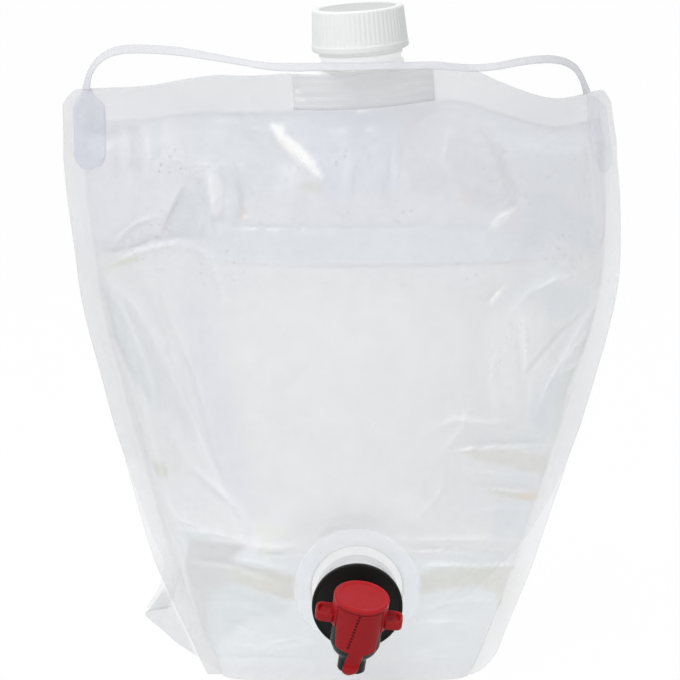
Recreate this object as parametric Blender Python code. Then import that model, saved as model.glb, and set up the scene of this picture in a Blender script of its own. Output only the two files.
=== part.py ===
"""Collapsible water carrier: a clear stand-up film bag with a strap, a screw-capped spout and a tap.

Metres, +Z up. The front, with the tap, faces -Y. The origin is the middle of the base, on the
surface that the carrier stands on. The bag is modelled as it stands when it is full.
"""

import math

import bmesh
import bpy
import numpy as np
from mathutils import Matrix

# Film and welds
FILM = 0.0008
FIT_GAP = 0.0003
SIDE_WELD = 0.009
TOP_WELD = 0.0185

# Bag
BAG_HEIGHT = 0.3055
BAG_TOP_WIDTH = 0.3050
BAG_BASE_WIDTH = 0.1440
BAG_FULL_DEPTH = 0.128
GUSSET_BASE_DEPTH = 0.100
GUSSET_HEIGHT = 0.101
GUSSET_BULGE = 0.003
GUSSET_FULL_SHARE = 0.93
GORE_SHARES = (0.08, 0.17, 0.27, 0.38, 0.5, 0.62, 0.74)
GUSSET_FLOOR_SHARES = (-1, -0.96, -0.9, -0.8, -0.6, -0.3, 0, 0.3, 0.6, 0.8, 0.9, 0.96, 1)
GUSSET_CLEARANCE = 0.0004
GUSSET_TIP_DEPTH = 0.006
LEFT_DROP = 0.0102
RIGHT_DROP = 0.0220
CORNER_DROP = 0.009

# The bag stands a little askew: the top leans to the right, its right end turns back, and the base
# runs out at the back left corner.
TOP_SWAY = 0.0095
BEND_START = 0.0485
BEND_RUN = 0.058
BEND_ANGLE = math.radians(50)
BASE_SKEW = 0.0135
CORNER_SPLAY = 0.0213
SPLAY_HEIGHT = 0.036
TAP_OFFSET = 0.0043
# From the middle of the bag's base to the middle of the whole part's box, where the origin is
ORIGIN_RIGHT = 0.0002
ORIGIN_FORWARDS = 0.0305

# Height shares of the bag against the share of the way from the base width to the top width
WIDTH_SHARES = ((0, 0), (0.03, 0.062), (0.06, 0.120), (0.09, 0.182), (0.12, 0.243), (0.16, 0.318), (0.20, 0.376),
                (0.25, 0.442), (0.30, 0.505), (0.334, 0.543), (0.379, 0.598), (0.43, 0.650), (0.484, 0.703),
                (0.55, 0.774), (0.624, 0.846), (0.693, 0.893), (0.80, 0.97), (0.88, 1), (1, 1))
# Height shares against the share of the way that the bag has moved to the right
SWAY_SHARES = ((0, 0), (0.03, 0.17), (0.06, 0.22), (0.12, 0.21), (0.20, 0.12), (0.30, 0.06), (0.379, 0.10),
               (0.484, 0.18), (0.55, 0.25), (0.624, 0.40), (0.693, 0.57), (0.80, 0.83), (0.88, 1), (1, 1))
# Shares of the half width against shares of how far the top edge drops, to the left and the right
LEFT_DROP_SHARES = ((0, 0), (0.46, 0), (0.56, 0.25), (0.70, 0.80), (0.85, 0.95), (1, 1))
RIGHT_DROP_SHARES = ((0, 0), (0.27, 0), (0.34, 0.10), (0.45, 0.48), (0.60, 0.83), (0.82, 1), (1, 1))
# Height shares against shares of the full depth, at the middle of the panel
DEPTH_SHARES = ((0, 0.94), (0.14, 0.97), (0.3, 1), (0.42, 0.97), (0.55, 0.865), (0.69, 0.70),
                (0.81, 0.495), (0.87, 0.37), (0.93, 0.18), (1, 0))
# Rows up a panel and columns across half of it
ROW_SHARES = (0, 0.035, 0.075, 0.115, 0.155, 0.195, 0.235, 0.28, 0.33, 0.39, 0.46, 0.53, 0.60,
              0.67, 0.73, 0.785, 0.835, 0.88, 0.915)
COLUMN_SHARES = (0.42, 0.55, 0.66, 0.76, 0.85, 0.93, 0.97, 1)
# The parts of the height over which the side grows from a rounded corner to a flat weld, the top
# leans with the spout and the right end turns back
CORNER_FADE_SHARE = 0.36
TOP_FADE_SHARE = 0.86
WELD_ROW_SHARE = 0.004
LAST_ROW_SHARE = 0.012
BEND_FADE_SHARES = (0.42, 0.94)

# Spout: a ribbed boat welded in the top seam, and the threaded neck above it
BOAT_LENGTH = 0.072
BOAT_THICKNESS = 0.030
BOAT_TIP = 0.0012
BOAT_RIB = 0.0006
BOAT_RIBS = 4
BOAT_STATION_SHARES = (0, 0.25, 0.5, 0.72, 0.88, 1)
BOAT_MARGIN = 0.008
BOAT_BORE = 0.026
BOAT_RISE = 0.0004
SPOUT_LEAN_LEFT = math.radians(4)
SPOUT_LEAN_BACK = math.radians(3)
LEAN_REACH = 0.110
LEAN_FADE_SHARES = (0.72, 0.90)
NECK_RADIUS = 0.0203
NECK_BORE = 0.0181
COLLAR_RADIUS = 0.0216
COLLAR_HEIGHT = 0.0035
BEAD_RADIUS = 0.0213
BEAD_HEIGHT = 0.0020
BEAD_LIFT = 0.0050

# Screw cap and its liner
CAP_RADIUS = 0.0245
CAP_TOP_RADIUS = 0.0231
CAP_HEIGHT = 0.0212
CAP_WALL = 0.0022
CAP_TOP = 0.0018
CAP_EDGE = 0.0014
CAP_BAND = 0.0030
CAP_BAND_STEP = 0.0005
CAP_RIB = 0.0006
CAP_RIBS = 60
CAP_LIFT_OFF_COLLAR = 0.0064
LINER_THICKNESS = 0.0011
LINER_CLEARANCE = 0.0004

# Strap: one strip with two rounded ends welded to the front
STRAP_END_WIDTH = 0.0160
STRAP_END_LENGTH = 0.0410
STRAP_END_INSET = 0.0055
STRAP_END_TAPER = 0.010
STRAP_WIDTH = 0.0046
STRAP_THICKNESS = 0.0014
STRAP_WELD_GAP = 0.0006
STRAP_HEAD_GAP = 0.0008
STRAP_NECK_CLEARANCE = 0.0035
STRAP_RISE = 0.0214
STRAP_DIP = 0.0065
STRAP_RIGHT_RISE = 0.0285
STRAP_BOW = 0.0040

# Tap gland welded in the front panel
TAP_HEIGHT = 0.0505
TAP_DROOP = math.radians(3)
TAP_ROLL = math.radians(8)
GLAND_DISC_RADIUS = 0.0318
GLAND_DISC = 0.0014
GLAND_STEP_RADIUS = 0.0230
GLAND_STEP = 0.0006
GLAND_NECK_RADIUS = 0.0176
GLAND_BORE = 0.0147
GLAND_LENGTH = 0.0215
GLAND_RING_RADIUS = 0.0206
GLAND_RING = 0.0018
GLAND_RING_SHARES = (0.22, 0.52)
GLAND_EDGE = 0.0005
PAD_MARGIN = 0.0100
PAD_FADE = 0.0180

# Tap body, about its upright barrel
FLANGE_RADIUS = 0.0227
FLANGE = 0.0025
FLANGE_EDGE = 0.0006
SPIGOT_RADIUS = 0.0142
SPIGOT_BORE = 0.0119
SPIGOT_LENGTH = 0.0180
SPIGOT_RIB = 0.0002
BARREL_RADIUS = 0.0123
BARREL_BORE = 0.0101
BARREL_TOP = 0.0093
BARREL_FOOT = 0.0093
BARREL_FROM_FLANGE = 0.0232
SEAT_DROP = 0.0115
OUTLET_RADIUS = 0.0069
OUTLET_BORE = 0.0043
OUTLET_TOP = 0.0165
OUTLET_END = 0.0236
DUCT_WIDTH = 0.0122
DUCT_TOP = 0.0016
DUCT_BOTTOM = 0.0122
DUCT_WALL = 0.0015

# Quarter-turn valve inside the tap
VALVE_TRAVEL = 0.0044
QUARTER_TURN = math.radians(90)
CAM_BASE = 0.0015
CAM_LOW = 0.0005
CAM_BORE = 0.0062
CAM_LAND = math.radians(12)
STEM_RADIUS = 0.0020
CROSSHEAD_REACH = 0.0095
CROSSHEAD_WIDTH = 0.0020
CROSSHEAD_HEIGHT = 0.0056
CROSSHEAD_CLEARANCE = 0.0008
FORK_CLEARANCE = 0.00035
FORK_BLADE = 0.0012
FORK_INNER = 0.0032
FORK_OUTER = 0.0087
SEAL_RADIUS = 0.0062
SEAL_HEIGHT = 0.0027
DIAPHRAGM = 0.0008
DIAPHRAGM_RIM = 0.0011
DIAPHRAGM_DIP = 0.0036
DIAPHRAGM_HUB = 0.0012

# Handle and the tear-off shroud under it
HANDLE_RADIUS = 0.0138
HANDLE_CLEARANCE = 0.0003
HANDLE_TOP = 0.0157
HANDLE_TOP_SLOPE = math.tan(math.radians(11))
HANDLE_CEILING = 0.0139
HANDLE_EDGE = 0.0013
HANDLE_DISH = 0.0004
HANDLE_SKIRT = 0.0010
SKIRT_STEP_ANGLE = math.radians(0.3)
GROOVE_TOP = 0.0135
GROOVE = 0.0007
SHROUD_HALF_ANGLE = math.radians(54)
SHROUD_SIDE_GAP = math.radians(2)
SHROUD_FOOT = 0.0101
SHROUD_TAPER = 0.0012
WING_REACH = 0.0216
WING_DEPTH = 0.0112
WING_FRONT = 0.0031
WING_RISE = 0.0022
WING_PLATE = 0.0024
WING_RIM = 0.0016
WING_RIM_WALL = 0.0013
SHROUD_CORNER = 0.0030
TAB_WIDTH = 0.0076
TAB_OFFSET = 0.0008
TAB_LEAN = 0.0028
TAB_LENGTH = 0.0105
TAB_LIP = 0.0026
TAB_STANDOFF = 0.0006

# Cuts run this far past what they cut
OVERRUN = 0.001
ROUND_SEGMENTS = 40
SMALL_SEGMENTS = 32
CAM_SEGMENTS = 60

BOAT_BOTTOM = BAG_HEIGHT - TOP_WELD
BOAT_TOP = BAG_HEIGHT + BOAT_RISE
HALF_GAP = FIT_GAP / 2
CAP_FOOT = BOAT_TOP + COLLAR_HEIGHT + CAP_LIFT_OFF_COLLAR
NECK_TOP = CAP_FOOT + CAP_HEIGHT - CAP_TOP - LINER_THICKNESS - 2 * FIT_GAP
FLANGE_FROM_FILM = GLAND_LENGTH + FIT_GAP + FLANGE
BARREL_FROM_FILM = FLANGE_FROM_FILM + BARREL_FROM_FLANGE
STEM_REST = CAM_LOW + CROSSHEAD_CLEARANCE


def clear_scene():
    """Removes whatever the opened file holds."""
    for thing in list(bpy.data.objects):
        bpy.data.objects.remove(thing)


def smooth(value):
    """An even ramp from 0 to 1, flat at both ends."""
    value = np.clip(value, 0, 1)
    return value * value * (3 - 2 * value)


def share_of(height, pairs):
    """The second number of a table of shares at this share of the height."""
    table = np.array(pairs, float)
    return np.interp(height, table[:, 0], table[:, 1])


def make_material(name, colour, roughness, metallic=0, alpha=1):
    """A Principled material in the colour of the real part."""
    material = bpy.data.materials.new(name)
    material.use_nodes = True
    shader = material.node_tree.nodes["Principled BSDF"]
    shader.inputs["Base Color"].default_value = (*colour, 1)
    shader.inputs["Roughness"].default_value = roughness
    shader.inputs["Metallic"].default_value = metallic
    shader.inputs["Alpha"].default_value = alpha
    material.diffuse_color = (*colour, alpha)
    return material


def make_object(name, points, faces, material, parent=None):
    """One named solid whose faces point outwards."""
    mesh = bpy.data.meshes.new(name)
    mesh.from_pydata([tuple(point) for point in points], [], [tuple(face) for face in faces])
    work = bmesh.new()
    work.from_mesh(mesh)
    bmesh.ops.recalc_face_normals(work, faces=work.faces)
    work.to_mesh(mesh)
    work.free()
    mesh.shade_smooth()
    mesh.set_sharp_from_angle(angle=math.radians(32))
    thing = bpy.data.objects.new(name, mesh)
    bpy.context.scene.collection.objects.link(thing)
    mesh.materials.append(material)
    thing.parent = parent
    return thing


def make_cutter(name, points, faces, parent=None):
    """A helper solid for a Boolean, left out of the part."""
    cutter = make_object(name, points, faces, helper_material(), parent)
    cutter.hide_render = True
    cutter.display_type = "WIRE"
    return cutter


def helper_material():
    """The plain material that all helper solids share."""
    return bpy.data.materials.get("helper") or make_material("helper", (0.5, 0.5, 0.5), 0.5)


def combine(thing, tool, operation):
    """Joins a helper solid to a piece or cuts it away."""
    modifier = thing.modifiers.new(tool.name, "BOOLEAN")
    modifier.operation = operation
    modifier.solver = "EXACT"
    modifier.object = tool


def make_frame(name, matrix):
    """An empty that carries the pieces of one assembly."""
    frame = bpy.data.objects.new(name, None)
    bpy.context.scene.collection.objects.link(frame)
    frame.matrix_world = matrix
    return frame


def loft(rings, wrap=False):
    """Points and faces of rings joined in order: closed by end faces, or end to end if wrapped."""
    count = len(rings[0])
    points = [point for ring in rings for point in ring]
    faces = []
    last = len(rings) if wrap else len(rings) - 1
    for i in range(last):
        here = i * count
        there = (i + 1) % len(rings) * count
        for k in range(count):
            n = (k + 1) % count
            faces.append((here + k, here + n, there + n, there + k))
    if not wrap:
        faces.append(tuple(range(count)))
        faces.append(tuple(range((len(rings) - 1) * count, len(rings) * count)))
    return points, faces


def turned(profile, segments, wrap, along="Z"):
    """A profile of (radius, height) turned about Z, or about -Y with height running forwards."""
    rings = []
    for radius, height in profile:
        ring = []
        for k in range(segments):
            angle = 2 * math.pi * k / segments
            across = radius * math.sin(angle)
            other = radius * math.cos(angle)
            ring.append((across, other, height) if along == "Z" else (across, -height, other))
        rings.append(ring)
    return loft(rings, wrap)


def thick_grid(outer, inner):
    """Points and faces of a sheet between two grids of points of the same shape."""
    rows, columns = outer.shape[:2]
    points = np.concatenate([outer.reshape(-1, 3), inner.reshape(-1, 3)])
    below = rows * columns
    faces = []
    for i in range(rows - 1):
        for j in range(columns - 1):
            a = i * columns + j
            quad = (a, a + 1, a + 1 + columns, a + columns)
            faces.append(quad)
            faces.append(tuple(below + index for index in reversed(quad)))
    edge = [j for j in range(columns)]
    edge += [i * columns + columns - 1 for i in range(1, rows)]
    edge += [(rows - 1) * columns + j for j in range(columns - 2, -1, -1)]
    edge += [i * columns for i in range(rows - 2, 0, -1)]
    for k, a in enumerate(edge):
        b = edge[(k + 1) % len(edge)]
        faces.append((b, a, below + a, below + b))
    return points, faces


def grid_normals(grid):
    """Unit normals of a grid of points."""
    across = np.gradient(grid, axis=1)
    along = np.gradient(grid, axis=0)
    normal = np.cross(across, along)
    return normal / np.linalg.norm(normal, axis=2, keepdims=True)


# The shape of the full bag, first as if it stood straight


def half_width(share):
    """Half the width of the bag inside its side welds."""
    base = BAG_BASE_WIDTH / 2 - SIDE_WELD
    top = BAG_TOP_WIDTH / 2 - SIDE_WELD
    return base + (top - base) * share_of(share, WIDTH_SHARES)


def weld_split(share):
    """How far each side weld has parted from the middle plane, round the bottom gusset."""
    rest = np.clip(1 - share * BAG_HEIGHT / GUSSET_HEIGHT, 0, 1)
    return GUSSET_BASE_DEPTH / 2 * rest * (1 + rest) / 2


def boat_half_thickness(across):
    """Half the boat's thickness at this distance from its middle: an arc that ends in a thin tip."""
    share = np.clip(np.abs(across) / (BOAT_LENGTH / 2), 0, 1)
    return BOAT_TIP / 2 + (BOAT_THICKNESS - BOAT_TIP) / 2 * (1 - share * share)


def top_bulge(across):
    """How far the film stands out round the boat in the top weld."""
    beside = np.clip((np.abs(across) - BOAT_LENGTH / 2) / BOAT_MARGIN, 0, 1)
    return (boat_half_thickness(across) + FIT_GAP - HALF_GAP) * (1 - beside)


def panel_bulge(u, share):
    """How far the film stands out from its side welds, u being -1 to 1 across the panel."""
    corner = np.clip(1 - share / CORNER_FADE_SHARE, 0, 1) ** 2
    power = 2.2 + 3.8 * corner
    root = 0.95 - 0.45 * corner
    depth = BAG_FULL_DEPTH / 2 * share_of(share, DEPTH_SHARES) - weld_split(share)
    body = depth * (1 - np.clip(np.abs(u), 0, 1) ** power) ** root
    to_top = smooth((share - TOP_FADE_SHARE) / (BOAT_BOTTOM / BAG_HEIGHT - WELD_ROW_SHARE - TOP_FADE_SHARE))
    return body * (1 - to_top) + top_bulge(u * half_width(share)) * to_top


def pad_depth(across, height, depth):
    """The depth of the front film, made flat round the tap gland."""
    away = np.hypot(across - TAP_OFFSET, height - TAP_HEIGHT)
    flat = GLAND_DISC_RADIUS + PAD_MARGIN
    weight = 1 - smooth((away - flat) / PAD_FADE)
    plane = pad_distance() + math.tan(TAP_DROOP) * (height - TAP_HEIGHT)
    return depth * (1 - weight) + plane * weight


def pad_distance():
    """The distance of the front film's outer face from the middle plane at the tap."""
    return BAG_FULL_DEPTH / 2 * float(share_of(TAP_HEIGHT / BAG_HEIGHT, DEPTH_SHARES))


def film_depth(u, share, front):
    """The distance of the film's outer face from the middle plane."""
    depth = HALF_GAP + FILM + weld_split(share) + panel_bulge(u, share)
    if front:
        depth = pad_depth(u * half_width(share), share * BAG_HEIGHT, depth)
    return depth


def top_drop(across):
    """How far the top edge lies below its middle."""
    share = across / (BAG_TOP_WIDTH / 2)
    left = LEFT_DROP * share_of(-share, LEFT_DROP_SHARES)
    right = RIGHT_DROP * share_of(share, RIGHT_DROP_SHARES)
    beyond = np.abs(across) - BAG_TOP_WIDTH / 2 + SIDE_WELD
    corner = CORNER_DROP * np.clip(beyond / SIDE_WELD, 0, 1) ** 2
    return left + right + corner


# How the standing bag is pushed out of its straight shape


def lean_matrix():
    """The turn of the spout, to the left and back, about the middle of the top weld's lower line."""
    pivot = Matrix.Translation((0, 0, BOAT_BOTTOM))
    turn = Matrix.Rotation(-SPOUT_LEAN_LEFT, 4, "Y") @ Matrix.Rotation(-SPOUT_LEAN_BACK, 4, "X")
    return pivot @ turn @ pivot.inverted()


def lean(points):
    """Turns the film round the spout with it, less and less away from it."""
    matrix = np.array(lean_matrix())
    turned_points = points @ matrix[:3, :3].T + matrix[:3, 3]
    rigid = BOAT_LENGTH / 2 + BOAT_MARGIN
    near = 1 - smooth((np.abs(points[..., 0]) - rigid) / (LEAN_REACH - rigid))
    low, high = LEAN_FADE_SHARES
    high_up = smooth((points[..., 2] / BAG_HEIGHT - low) / (high - low))
    weight = (near * high_up)[..., None]
    return points * (1 - weight) + turned_points * weight


def bend_back(points):
    """Turns the right end of the top backwards along an arc."""
    low, high = BEND_FADE_SHARES
    angle = BEND_ANGLE * smooth((points[..., 2] / BAG_HEIGHT - low) / (high - low))
    angle = np.maximum(angle, 1e-6)
    past = np.maximum(points[..., 0] - BEND_START, 0)
    on_arc = np.minimum(past, BEND_RUN)
    beyond = past - on_arc
    turn = angle * on_arc / BEND_RUN
    radius = BEND_RUN / angle
    across = radius * np.sin(turn) + beyond * np.cos(turn)
    back = radius * (1 - np.cos(turn)) + beyond * np.sin(turn)
    moved = points.copy()
    moved[..., 0] = np.minimum(points[..., 0], BEND_START) + across - points[..., 1] * np.sin(turn)
    moved[..., 1] = back + points[..., 1] * np.cos(turn)
    return moved


def sway(points):
    """Moves the top to the right."""
    moved = points.copy()
    moved[..., 0] += TOP_SWAY * share_of(points[..., 2] / BAG_HEIGHT, SWAY_SHARES)
    return moved


def skew_base(points):
    """Moves the back of the base to the left, its left corner the most."""
    half_depth = GUSSET_BASE_DEPTH / 2
    back = np.clip((points[..., 1] + half_depth) / (2 * half_depth), 0, 1)
    low = 1 - smooth(points[..., 2] / GUSSET_HEIGHT)
    left = np.clip(-points[..., 0] / (BAG_BASE_WIDTH / 2), 0, 1)
    corner = back * back * left * np.clip(1 - points[..., 2] / SPLAY_HEIGHT, 0, 1)
    moved = points.copy()
    moved[..., 0] -= BASE_SKEW * back * low + CORNER_SPLAY * corner
    return moved


def settle(points):
    """The standing shape of points on the straight bag."""
    to_origin = np.array([-ORIGIN_RIGHT, ORIGIN_FORWARDS, 0])
    return sway(bend_back(lean(skew_base(points)))) + to_origin


def rows_of_panel():
    """Height shares of a panel's rows: the body's, then the top weld's."""
    weld = BOAT_BOTTOM / BAG_HEIGHT
    body = [share for share in ROW_SHARES if share < weld - LAST_ROW_SHARE]
    return np.array(body + [weld - WELD_ROW_SHARE, (1 + weld) / 2, 1])


def columns_of_panel():
    """Distances across a panel at the top weld: at the boat's stations, then out to the weld."""
    reach = BAG_TOP_WIDTH / 2 - SIDE_WELD
    boat = [BOAT_LENGTH / 2 * share for share in BOAT_STATION_SHARES]
    beside = [BOAT_LENGTH / 2 + BOAT_MARGIN, BOAT_LENGTH / 2 + 2 * BOAT_MARGIN]
    outer = [reach * share for share in COLUMN_SHARES if reach * share > beside[-1] + BOAT_MARGIN / 2]
    half = np.array(boat + beside + outer) / reach
    return np.concatenate([-half[:0:-1], half])


def make_panel(name, front, material):
    """One film panel with its side welds and its half of the top weld."""
    rows = rows_of_panel()
    across = columns_of_panel()
    u = np.concatenate([[-1], across, [1]])
    weld = np.zeros(len(u))
    weld[0], weld[-1] = -SIDE_WELD, SIDE_WELD
    share, u_grid = np.meshgrid(rows, u, indexing="ij")
    x = u_grid * half_width(share) + weld[None, :]
    y = film_depth(u_grid, share, front)
    z = share * BAG_HEIGHT - top_drop(x) * smooth((share - 0.8) / 0.2)
    side = -1 if front else 1
    outer = np.stack([x, side * y, z], axis=2)
    normal = grid_normals(outer)
    normal *= np.sign(side * normal[..., 1:2])
    straight = smooth((share - 0.84) / 0.05)[..., None]
    inward = -normal * (1 - straight) + np.array([0, -side, 0]) * straight
    inner = outer + FILM * inward / np.linalg.norm(inward, axis=2, keepdims=True)
    inner[..., 2] = np.maximum(inner[..., 2], 0)
    points, faces = thick_grid(settle(outer), settle(inner))
    panel = make_object(name, points, faces, material)
    if front:
        hole = GLAND_STEP_RADIUS + FIT_GAP
        profile = [(hole, -FILM - GLAND_DISC), (hole, GLAND_DISC)]
        cutter = make_cutter("gland_hole", *turned(profile, ROUND_SEGMENTS, False, "Y"),
                             parent=bpy.data.objects["gland_frame"])
        combine(panel, cutter, "DIFFERENCE")
    return panel


def make_gusset(material):
    """The base film: a flat floor, and a pointed gore up each side between the parted welds."""
    base = half_width(0) - GUSSET_CLEARANCE
    inner_depth = GUSSET_BASE_DEPTH / 2 - GUSSET_CLEARANCE
    climbs = [share for share in GORE_SHARES
              if weld_split(share * GUSSET_HEIGHT / BAG_HEIGHT) > GUSSET_TIP_DEPTH / 2]
    stations = []
    for share in reversed(climbs):
        stations.append((-1, share))
    for share in GUSSET_FLOOR_SHARES:
        stations.append((0, share))
    for share in climbs:
        stations.append((1, share))
    lines = np.linspace(-1, 1, 11)
    grid = []
    for side, share in stations:
        if side == 0:
            depth = inner_depth + panel_bulge(share, 0) * GUSSET_FULL_SHARE
            x = base * share + 0 * lines
            y = depth * lines
            z = 0 * lines
        else:
            height = share * GUSSET_HEIGHT
            at = height / BAG_HEIGHT
            bulge = GUSSET_BULGE * smooth(share * 4) * (1 - lines * lines)
            x = side * (half_width(at) - GUSSET_CLEARANCE + bulge)
            y = (weld_split(at) - GUSSET_CLEARANCE) * lines
            z = height + 0 * lines
        grid.append(np.stack([x, y, z], axis=1))
    outer = np.array(grid)
    normal = grid_normals(outer)
    middle = np.array([0, 0, GUSSET_HEIGHT])
    facing = np.sign(np.sum(normal * (middle - outer), axis=2, keepdims=True))
    floor = (outer[..., 2] == 0)[..., None]
    inward = np.where(floor, np.array([0.0, 0.0, 1.0]), normal * facing)
    inner = outer + FILM * inward
    points, faces = thick_grid(settle(outer), settle(inner))
    return make_object("bottom_gusset", points, faces, material)


# Spout and cap, upright in the spout's own frame


def make_boat(material, parent):
    """The boat: its ribs are steps in its outline, which follows the film's facets."""
    stations = [BOAT_LENGTH / 2 * share for share in BOAT_STATION_SHARES]
    across = [-x for x in reversed(stations[1:])] + stations
    heights = []
    ribs = []
    pitch = (BOAT_TOP - BOAT_BOTTOM) / (2 * BOAT_RIBS + 1)
    for k in range(2 * BOAT_RIBS + 1):
        inset = 0 if k % 2 == 0 else BOAT_RIB
        heights += [BOAT_BOTTOM + pitch * k, BOAT_BOTTOM + pitch * (k + 1)]
        ribs += [inset, inset]
    rings = []
    for height, inset in zip(heights, ribs):
        front, back = [], []
        for x in across:
            depth = float(boat_half_thickness(x))
            depth = max(depth - inset, BOAT_TIP / 2)
            front.append((x, -depth, height))
            back.append((x, depth, height))
        rings.append(front + back[::-1])
    return make_object("spout_fitment", *loft(rings), material, parent)


def make_spout(material, parent):
    """The welded boat with the round neck on it, bored through."""
    spout = make_boat(material, parent)
    foot = BOAT_TOP - 2 * OVERRUN
    collar_top = BOAT_TOP + COLLAR_HEIGHT
    bead_foot = collar_top + BEAD_LIFT - BEAD_HEIGHT
    edge = BEAD_HEIGHT / 4
    profile = [
        (BOAT_THICKNESS / 2 - OVERRUN, foot),
        (BOAT_THICKNESS / 2 - OVERRUN, BOAT_TOP + FIT_GAP),
        (COLLAR_RADIUS, BOAT_TOP + COLLAR_HEIGHT / 2),
        (COLLAR_RADIUS, collar_top),
        (NECK_RADIUS, collar_top + edge),
        (NECK_RADIUS, bead_foot),
        (BEAD_RADIUS, bead_foot + edge),
        (BEAD_RADIUS, bead_foot + BEAD_HEIGHT - edge),
        (NECK_RADIUS, bead_foot + BEAD_HEIGHT),
        (NECK_RADIUS, NECK_TOP - edge),
        (NECK_RADIUS - edge, NECK_TOP),
    ]
    neck = make_cutter("neck_solid", *turned(profile, ROUND_SEGMENTS, False), parent=parent)
    combine(spout, neck, "UNION")
    shoulder = BOAT_TOP + COLLAR_HEIGHT / 2
    flare = NECK_BORE - BOAT_BORE / 2
    bore_profile = [
        (BOAT_BORE / 2, BOAT_BOTTOM - OVERRUN),
        (BOAT_BORE / 2, shoulder),
        (NECK_BORE, shoulder + flare / 2),
        (NECK_BORE, NECK_TOP + OVERRUN),
    ]
    bore = make_cutter("neck_bore", *turned(bore_profile, ROUND_SEGMENTS, False), parent=parent)
    combine(spout, bore, "DIFFERENCE")
    return spout


def ribbed_ring(radius, height, rib):
    """A ring of the cap's grip: the radius steps in between the ribs."""
    ring = []
    count = 2 * CAP_RIBS
    for k in range(count):
        angle = 2 * math.pi * k / count
        here = radius if k % 2 else radius - rib
        ring.append((here * math.sin(angle), here * math.cos(angle), height))
    return ring


def make_cap(material, parent):
    """The screw cap: a cup with fine upright ribs, a plain band at its foot and a rounded edge."""
    top = CAP_FOOT + CAP_HEIGHT
    band_top = CAP_FOOT + CAP_BAND
    rib_top = top - CAP_EDGE
    inner = CAP_RADIUS - CAP_WALL
    inner_top = CAP_TOP_RADIUS - CAP_WALL
    ceiling = top - CAP_TOP
    soft = CAP_EDGE * (1 - math.sqrt(0.5))
    rings = [
        ribbed_ring(CAP_RADIUS - CAP_BAND_STEP, CAP_FOOT, 0),
        ribbed_ring(CAP_RADIUS, CAP_FOOT + CAP_BAND_STEP, 0),
        ribbed_ring(CAP_RADIUS, band_top, 0),
        ribbed_ring(CAP_RADIUS - CAP_BAND_STEP / 2, band_top + CAP_BAND_STEP, CAP_RIB),
        ribbed_ring(CAP_TOP_RADIUS, rib_top, CAP_RIB),
        ribbed_ring(CAP_TOP_RADIUS - soft, top - soft, CAP_RIB / 2),
        ribbed_ring(CAP_TOP_RADIUS - CAP_EDGE, top, 0),
    ]
    outside, outer_faces = loft(rings)
    hollow = [(inner, CAP_FOOT - OVERRUN), (inner_top, ceiling)]
    cap = make_object("screw_cap", outside, outer_faces, material, parent)
    cup = make_cutter("cap_hollow", *turned(hollow, ROUND_SEGMENTS, False), parent=parent)
    combine(cap, cup, "DIFFERENCE")
    return cap


def make_liner(material, parent):
    """The soft sealing disc under the cap's top, resting on the neck's rim."""
    radius = CAP_TOP_RADIUS - CAP_WALL - LINER_CLEARANCE
    edge = LINER_THICKNESS / 4
    foot = NECK_TOP + FIT_GAP
    profile = [
        (radius - edge, foot),
        (radius, foot + edge),
        (radius, foot + LINER_THICKNESS - edge),
        (radius - edge, foot + LINER_THICKNESS),
    ]
    return make_object("cap_liner", *turned(profile, ROUND_SEGMENTS, False), material, parent)


# Strap


def front_film_at(across, height):
    """A point on the straight bag's front film."""
    share = height / BAG_HEIGHT
    u = across / half_width(share)
    return -film_depth(np.clip(u, -1, 1), share, True)


def strap_end_grid(side):
    """The middle surface of one welded end, on the straight bag: a rounded foot, a tapered head."""
    centre = side * (BAG_TOP_WIDTH / 2 - STRAP_END_INSET - STRAP_END_WIDTH / 2)
    top = strap_head_height(side)
    foot = top - STRAP_END_LENGTH
    radius = STRAP_END_WIDTH / 2
    rows = []
    for share in (0.03, 0.13, 0.3, 0.55, 0.8, 1):
        height = foot + radius * share
        rows.append((height, math.sqrt(radius * radius - (radius - radius * share) ** 2)))
    straight = top - STRAP_END_TAPER
    for share in (0.3, 0.65, 1):
        rows.append((foot + radius + (straight - foot - radius) * share, radius))
    for share in (0.35, 0.7, 1):
        half = radius + (STRAP_WIDTH / 2 - radius) * float(smooth(share))
        rows.append((straight + STRAP_END_TAPER * share, half))
    lines = np.linspace(-1, 1, 5)
    x = np.array([centre + half * lines for _, half in rows])
    z = np.array([height + 0 * lines for height, _ in rows])
    return x, z


def strap_head_height(side):
    """The height of the top of one welded end on the straight bag: just under the film's edge."""
    return BAG_HEIGHT - (LEFT_DROP if side < 0 else RIGHT_DROP)


def strap_head(side):
    """The middle of the top of one welded end, on the settled bag."""
    centre = side * (BAG_TOP_WIDTH / 2 - STRAP_END_INSET - STRAP_END_WIDTH / 2)
    height = strap_head_height(side)
    y = float(front_film_at(centre, height)) - STRAP_WELD_GAP - STRAP_THICKNESS / 2
    return settle(np.array([[centre, y, height]]))[0]


def make_strap_end(name, side, material):
    """One rounded end of the strap, lying on the front film where it is welded."""
    x, z = strap_end_grid(side)
    film = front_film_at(x, z)
    inner = np.stack([x, film - STRAP_WELD_GAP, z], axis=2)
    outer = np.stack([x, film - STRAP_WELD_GAP - STRAP_THICKNESS, z], axis=2)
    return make_object(name, *thick_grid(settle(outer), settle(inner)), material)


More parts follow.
